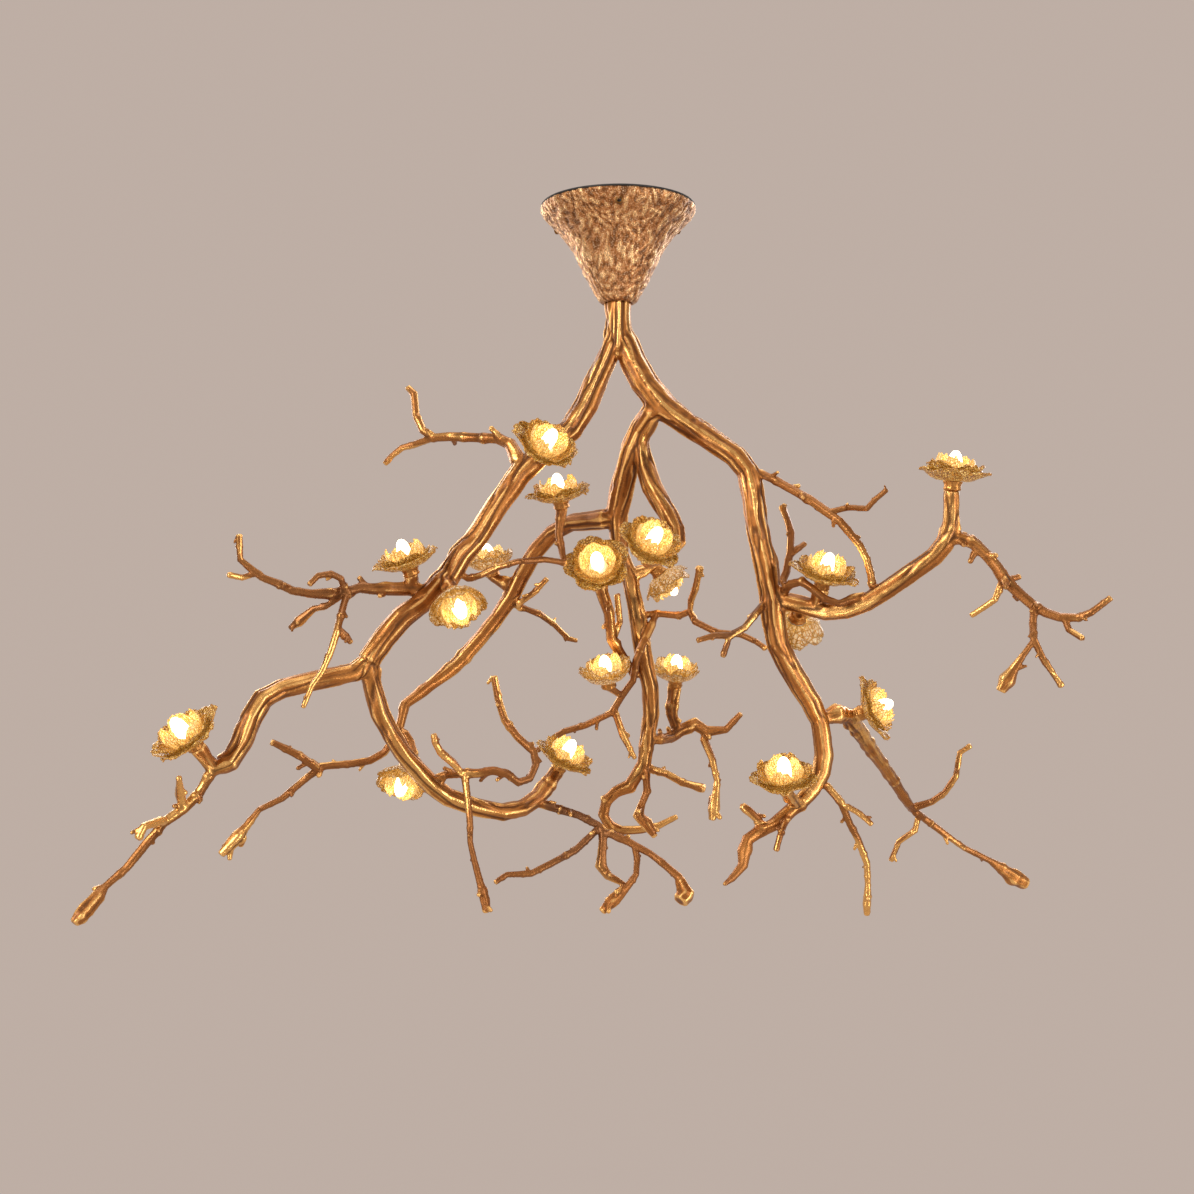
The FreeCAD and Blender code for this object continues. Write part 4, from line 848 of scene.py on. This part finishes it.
def petal(columns, rows, middle, ring, seed):
    """One petal from a flat grid, its midrib turned to the angle middle."""
    line, half_width, wrap, cupped, curl, ruffle = ring[:6]
    shape = bmesh.new()
    bmesh.ops.create_grid(shape, x_segments=columns, y_segments=rows, size=1.0)
    reach = shape.verts.layers.float.new("reach")
    across = shape.verts.layers.float.new("across")
    radii = [(v, r) for v, r, h in line]
    heights = [(v, h) for v, r, h in line]
    for vertex in shape.verts:
        u, up = vertex.co.x, (vertex.co.y + 1) / 2
        # v is how far along the midrib the point lies: less at the sides, with teeth and a notch at the tip
        tooth = 0.035 * math.sin(9.0 * u + seed * 3) + 0.03 * math.sin(17.0 * u + seed * 5)
        v = up * (1 - 0.26 * abs(u) ** 2.2 + tooth * up ** 3 - 0.05 * math.exp(-(u / 0.2) ** 2) * up ** 4)
        # narrow at the hub, widest past the middle, rounded at the tip
        width = half_width * (0.36 + 0.64 * math.sin(min(1.0, up / 0.64) * math.pi / 2) ** 1.2)
        if up > 0.7:
            width *= math.sqrt(1 - ((up - 0.7) / 0.37) ** 2.2)
        aside = u * width
        radius, height = smooth_line(radii, v), smooth_line(heights, v)
        # bent round the lamp by the share that wrap says
        round_by = aside / max(radius, 6.0)
        out_by = radius * (wrap * math.cos(round_by) + (1 - wrap))
        side_by = wrap * radius * math.sin(round_by) + (1 - wrap) * aside
        # crumpled, pleated and waved, more towards the tip
        spot = Vector((u * 1.5 + seed, up * 1.7, seed * 0.37))
        crumple = noise.noise(spot * 1.5) + 0.55 * noise.noise(spot * 3.6) + 0.3 * noise.noise(spot * 8.0)
        pleat = math.sin(13.0 * u + 2.0 * seed + 2.2 * noise.noise(spot * 2.0)) * 0.55 * up * (1 - 0.4 * up)
        wave = (math.sin(4.6 * u + seed) * 0.6 + math.sin(8.3 * u + 2.1 * seed) * 0.4) * up ** 2
        rise = ruffle * (wave + 1.1 * crumple * (0.25 + 0.75 * up)) + pleat
        dish = cupped * (aside / half_width) ** 2 * up
        rise += dish - curl * max(0.0, (v - 0.70) / 0.30) ** 2
        out_by -= 0.55 * ruffle * crumple * up + 0.25 * dish
        bent_to = Vector((out_by * MM, side_by * MM, (height + rise) * MM))
        vertex.co = Matrix.Rotation(middle, 3, "Z") @ bent_to
        vertex[reach] = up
        vertex[across] = u
    return shape


OPEN_RINGS = {
    "outer": Ring([(0.0, 9.8, 9.2), (0.25, 15.6, 9.9), (0.6, 25.2, 14.6), (1.0, 34.8, 19.4)],
                  18.4, 0.55, 2.6, 2.2, 1.25, 1.0, 0.0),
    "middle": Ring([(0.0, 10.0, 10.6), (0.28, 15.6, 12.6), (0.65, 23.2, 18.6), (1.0, 28.0, 25.6)],
                   15.4, 0.75, 1.8, 1.2, 1.05, 0.9, 36.0),
    "inner": Ring([(0.0, 9.9, 10.4), (0.22, 13.4, 12.4), (0.55, 17.4, 19.4), (0.8, 18.4, 25.4), (1.0, 17.0, 30.6)],
                  13.2, 1.0, 0.2, -0.6, 0.8, 0.8, 0.0),
}
HALF_OPEN_RINGS = {
    "outer": Ring([(0.0, 9.8, 9.2), (0.25, 15.4, 10.8), (0.6, 23.4, 17.0), (1.0, 29.2, 25.0)],
                  17.0, 0.80, 1.4, 1.6, 1.1, 1.0, 0.0),
    "middle": Ring([(0.0, 10.0, 10.6), (0.28, 15.0, 13.0), (0.65, 20.6, 21.0), (1.0, 22.8, 28.6)],
                   13.6, 0.90, 0.8, 0.6, 0.9, 0.9, 36.0),
    "inner": Ring([(0.0, 9.9, 10.4), (0.22, 13.2, 12.6), (0.55, 16.4, 20.2), (0.8, 16.9, 26.6), (1.0, 15.2, 31.8)],
                  12.4, 1.0, 0.1, -0.8, 0.7, 0.8, 0.0),
}
# the flowers that show their half-open form in the photograph
HALF_OPEN = (5, 6, 10, 11, 12, 14, 16)
PETALS = 5


def petal_ring(name, numbers, ring, glass, *nodes):
    """One piece with the same ring of every flower in numbers, each petal a little different."""
    whole = bmesh.new()
    seeded = np.random.default_rng(len(name) + len(numbers))
    columns, rows = ((21, 23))
    for number in numbers:
        for lobe in range(PETALS):
            seed = float(seeded.uniform(0, 60))
            middle = math.radians(ring.turn) + 2 * math.pi * (lobe + 0.5) / PETALS + float(seeded.uniform(-0.09, 0.09))
            bend = float(seeded.uniform(-1.0, 1.0))
            size_by = float(seeded.uniform(0.92, 1.04))
            bent = [(v, r * (1 + (size_by - 1) * v) - 0.9 * abs(bend) * v * v, h + bend * 2.0 * v * v)
                    for v, r, h in ring.line]
            own = ring._replace(line=bent, half_width=ring.half_width * size_by,
                                curl=ring.curl * float(seeded.uniform(0.2, 1.6)))
            append(whole, petal(columns, rows, middle, own, seed), PLACES[number])
    made = object_from(whole, name, glass)
    thick = made.modifiers.new("wall", "SOLIDIFY")
    thick.thickness = ring.wall * MM
    thick.offset = 0
    thick.use_even_offset = False
    apply_modifiers(made)
    # glow sets where the petals give off their painted glow
    glow_by_lamp(made, numbers)
    settle(made, "fixture", "petal_glass", *nodes)


def glow_by_lamp(made, numbers):
    """How near each point is to its own lamp, 1 at the lamp and 0 far away."""
    spots = points_of(made.data)
    glow = np.zeros(len(spots))
    for number in numbers:
        own = np.array(PLACES[number].inverted())
        local = spots @ own[:3, :3].T + own[:3, 3]
        away = np.linalg.norm(local - np.array([0, 0, 25 * MM]), axis=1)
        glow = np.maximum(glow, np.clip(1 - (away - 9 * MM) / (17 * MM), 0, 1))
    put_attribute(made.data, "glow", glow)


for kind, rings, glass in (("open", OPEN_RINGS, PETAL_OUT), ("half_open", HALF_OPEN_RINGS, PETAL_CLEAR)):
    numbers = [n for n in FLOWERS if (n in HALF_OPEN) == (kind == "half_open")]
    petal_ring(f"outer_petals_{kind}", numbers, rings["outer"], glass, "outer_petals")
    petal_ring(f"middle_petals_{kind}", numbers, rings["middle"], glass)
    petal_ring(f"inner_petals_{kind}", numbers, rings["inner"], PETAL_IN, "inner_petals")


# -------- turned parts
def turned(profile, segments):
    """A closed turning from (radius, height) pairs in mm, which end where they start or run from pole to pole."""
    shape = bmesh.new()
    spots = [shape.verts.new((radius * MM, 0, height * MM)) for radius, height in profile]
    for a, b in zip(spots, spots[1:]):
        shape.edges.new((a, b))
    bmesh.ops.spin(shape, geom=shape.verts[:] + shape.edges[:], cent=(0, 0, 0), axis=(0, 0, 1),
                   dvec=(0, 0, 0), angle=2 * math.pi, steps=segments, use_merge=True, use_duplicate=False)
    bmesh.ops.remove_doubles(shape, verts=shape.verts, dist=1e-7)
    bmesh.ops.recalc_face_normals(shape, faces=shape.faces)
    return shape


LAMP_LINE = [(0, 12.6), (4.4, 12.6), (5.6, 13.6), (6.3, 16.6), (6.6, 20.5), (6.55, 24.5), (6.1, 28.4), (5.1, 32.0),
             (3.5, 34.7), (1.8, 36.1), (0, 36.5)]
CUP_LINE = [(0, 0), (6.4, 0), (7.5, 0.5), (8.0, 1.6), (7.6, 2.8), (7.5, 4.2), (7.9, 5.8), (8.7, 7.2), (9.0, 8.0),
            (8.8, 8.5), (7.6, 8.5), (7.5, 8.0), (7.5, 3.2), (7.0, 3.0), (0, 3.0)]
HOLDER_LINE = [(0, 3.0), (6.4, 3.0), (7.0, 3.5), (7.0, 10.8), (9.2, 10.9), (9.6, 11.3), (9.5, 12.1), (9.0, 12.5),
               (5.2, 12.5), (4.7, 12.1), (4.3, 12.0), (0, 12.0)]
PIN_HEIGHTS, PIN_ASIDE = (5.6, 13.0), 2.0
CUP_LOBES, CUP_WAVE = 10, 0.035

for number in FLOWERS:
    whole = turned(LAMP_LINE, 28)
    glow = whole.verts.layers.float.new("glow")
    for vertex in whole.verts:
        vertex[glow] = min(1.0, max(0.0, (vertex.co.z - 12 * MM) / (8 * MM)))
    for side in (-1, 1):
        pin = bmesh.new()
        bmesh.ops.create_cone(pin, cap_ends=True, segments=10, radius1=0.30 * MM, radius2=0.40 * MM,
                              depth=(PIN_HEIGHTS[1] - PIN_HEIGHTS[0]) * MM)
        bmesh.ops.translate(pin, vec=(side * PIN_ASIDE * MM, 0, sum(PIN_HEIGHTS) / 2 * MM), verts=pin.verts)
        for face in pin.faces:
            face.material_index = 1
        append(whole, pin, Matrix.Identity(4))
    bmesh.ops.transform(whole, matrix=PLACES[number], verts=whole.verts)
    made = object_from(whole, f"bulb_{number:02d}_lamp", LAMP, PIN)
    settle(made, f"bulb_{number:02d}", "lamp_glass", f"bulb_{number:02d}")

cups = bmesh.new()
for number in FLOWERS:
    cup = turned(CUP_LINE, 40)
    for vertex in cup.verts:
        if math.hypot(vertex.co.x, vertex.co.y) > 7.55 * MM:
            wave = 1 + CUP_WAVE * math.cos(CUP_LOBES * math.atan2(vertex.co.y, vertex.co.x))
            vertex.co.x *= wave
            vertex.co.y *= wave
    append(cups, cup, PLACES[number])
settle(object_from(cups, "calyx_cups_cast", CUP), "fixture", "antique_gold", "calyx_cups")

holders = bmesh.new()
for number in FLOWERS:
    append(holders, turned(HOLDER_LINE, 36), PLACES[number])
settle(object_from(holders, "lamp_holders_glazed", CERAMIC), "fixture", "ceramic", "lamp_holders")


# -------- canopy
# in mm: rim and lip radius, the gap under the ceiling, how far down the lip is, the copper's wall, the collar's bore
RIM, LIP, GAP, HEIGHT, SHELL, BORE = 77.0, 17.0, 0.6, 97.0, 2.5, 13.8
DROP = HEIGHT - GAP
# the cone's side: the share of the way down, and the share of the way from lip to rim
CONE_LINE = [(0.0, 0.965), (0.02, 1.0), (0.06, 0.99), (0.12, 0.925), (0.25, 0.72), (0.43, 0.50), (0.60, 0.36),
             (0.80, 0.20), (0.88, 0.128), (0.935, 0.078), (0.965, 0.055), (0.985, 0.03), (1.0, -0.01)]


def canopy_radius(down):
    return LIP + (RIM - LIP) * smooth_line(CONE_LINE, down)


def canopy():
    """The copper shell, hammered on its outside; its dent attribute is 1 on the hammered crests."""
    rows, segments = ((96, 400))
    inner_rows = 24
    outer = [(canopy_radius(k / rows), -GAP - DROP * k / rows) for k in range(rows + 1)]
    inner = [(max(BORE, canopy_radius(k / inner_rows) - SHELL), -GAP - DROP * k / inner_rows)
             for k in range(inner_rows + 1)]
    shape = turned(inner[::-1] + outer + inner[-1:], segments)
    shape.normal_update()
    dent = shape.verts.layers.float.new("dent")
    for vertex in shape.verts:
        down = (-vertex.co.z / MM - GAP) / DROP
        radius = math.hypot(vertex.co.x, vertex.co.y) / MM
        vertex[dent] = 0.5
        if radius <= canopy_radius(down) - 0.6 * SHELL:
            continue
        spot = vertex.co.copy()
        # long runs, short dashes and a fine crust, all set a little askew
        swirl = 2.2 * noise.noise(spot * 24)
        runs = noise.noise(Vector((spot.x * 95, spot.y * 95, spot.z * 55 + swirl)))
        dashes = noise.noise(Vector((spot.x * 250 + swirl, spot.y * 250 - swirl, spot.z * 165 + 1.4 * swirl)))
        crust = noise.noise(spot * 330) + 0.7 * noise.noise(spot * 640)
        fade = min(1.0, down / 0.03) * min(1.0, (1 - down) / 0.05)
        height = 0.9 * runs + 1.15 * dashes + 0.25 * crust
        # dent also sets where the copper's material paints highlights on the crests and shade between them
        vertex[dent] = min(1.0, max(0.0, 0.5 + 0.40 * runs + 0.95 * dashes + 0.16 * crust))
        vertex.co += vertex.normal * height * 0.75 * fade * MM
    settle(object_from(shape, "canopy_shell", COPPER), "canopy", "canopy_copper", "canopy")


canopy()
# the side screws: their turns about the stem in degrees; below the ceiling, and out from the axis, in mm
SCREW_TURNS = (-90.0, 30.0, 150.0)
SCREW_DROP, SCREW_TIP = 14.0, 50.3
SCREW_HEAD = canopy_radius((SCREW_DROP - GAP) / DROP) - 1.2
KNURL_STEP = 7.5
SCREW_LINE = [(0, SCREW_TIP), (1.9, SCREW_TIP), (2.5, SCREW_TIP + 0.6), (2.5, SCREW_HEAD), (4.0, SCREW_HEAD),
              (4.0, SCREW_HEAD + 2.9), (3.7, SCREW_HEAD + 3.4), (2.7, SCREW_HEAD + 3.5), (2.4, SCREW_HEAD + 3.2),
              (2.4, SCREW_HEAD + 1.0), (0, SCREW_HEAD + 1.0)]


def side_screws():
    """Knurled thumb screws with a deep round socket, whose inside is painted black as shade."""
    whole = bmesh.new()
    for turn in SCREW_TURNS:
        screw = turned(SCREW_LINE, 48)
        for vertex in screw.verts:
            if math.hypot(vertex.co.x, vertex.co.y) > 3.9 * MM:
                step = round(math.degrees(math.atan2(vertex.co.y, vertex.co.x)) / KNURL_STEP)
                vertex.co.x *= 1 - 0.05 * (step % 2)
                vertex.co.y *= 1 - 0.05 * (step % 2)
        for face in screw.faces:
            middle = face.calc_center_median()
            # the socket's inside is painted black as shade
            in_socket_shade = math.hypot(middle.x, middle.y) < 2.45 * MM and middle.z > (SCREW_HEAD + 0.9) * MM
            face.material_index = 1 if in_socket_shade else 0
        out_way = Vector((math.cos(math.radians(turn)), math.sin(math.radians(turn)), 0))
        aim = out_way.to_track_quat("Z", "X").to_matrix().to_4x4()
        append(whole, screw, Matrix.Translation((0, 0, -SCREW_DROP * MM)) @ aim)
    made = object_from(whole, "canopy_side_screws", BRASS, BLACK_AND_SHADE)
    settle(made, "canopy", "side_screw_brass", "canopy_screws")


side_screws()
# a black ring along the canopy's top edge, as painted shadow in the gap under the ceiling
SHADOW_BAND_LINE = [(75.4, -0.3), (76.6, -0.2), (77.1, -0.9), (77.1, -1.9), (76.4, -2.3), (75.4, -2.2), (75.4, -0.3)]
shadow_band = turned(SHADOW_BAND_LINE, 160)
settle(object_from(shadow_band, "canopy_rim_shadow_band", BLACK_AND_SHADE), "canopy", "black_steel")


# -------- the CAD nodes that stay
FINISH = {"ceiling_plate": BLACK_AND_SHADE, "nipple": ZINC, "nipple_nuts": ZINC, "washer": ZINC, "lamp_driver": CASE,
          "terminal_block": CASE, "earth_screw": BRASS}
for name, finish in FINISH.items():
    NODES[name].data.materials.clear()
    NODES[name].data.materials.append(finish)


# -------- floor
def floor_paint():
    """Plain paint under the object, which fades to the wall's colour away from it."""
    made, tree, shader, place = material("floor_paint")
    feed(tree, shader, {"Base Color": FLOOR, "Roughness": 0.9})
    away = tree.nodes.new("ShaderNodeVectorMath")
    away.operation = "LENGTH"
    flat = tree.nodes.new("ShaderNodeVectorMath")
    flat.operation = "MULTIPLY"
    flat.inputs[1].default_value = (1, 1, 0)
    tree.links.new(place, flat.inputs[0])
    tree.links.new(flat.outputs[0], away.inputs[0])
    wall = feed(tree, tree.nodes.new("ShaderNodeEmission"), {"Color": WALL})
    blended = tree.nodes.new("ShaderNodeMixShader")
    fade = ramp(tree, away.outputs["Value"], 0.25, 1.15, 0.45, 1.0)
    feed(tree, blended, {"Fac": math_node(tree, "MULTIPLY", seen_directly(tree), fade), 1: shader.outputs[0],
                         2: wall.outputs[0]})
    surface = next(n for n in tree.nodes if n.type == "OUTPUT_MATERIAL")
    tree.links.new(blended.outputs[0], surface.inputs["Surface"])
    return made


FLOOR_DOWN, FLOOR_REACH = 1.45, 12
floor_shape = bmesh.new()
bmesh.ops.create_grid(floor_shape, x_segments=1, y_segments=1, size=FLOOR_REACH)
bmesh.ops.translate(floor_shape, vec=(0, 0, -FLOOR_DOWN), verts=floor_shape.verts)
floor = object_from(floor_shape, "floor", floor_paint())
floor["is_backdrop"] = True

low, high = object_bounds()
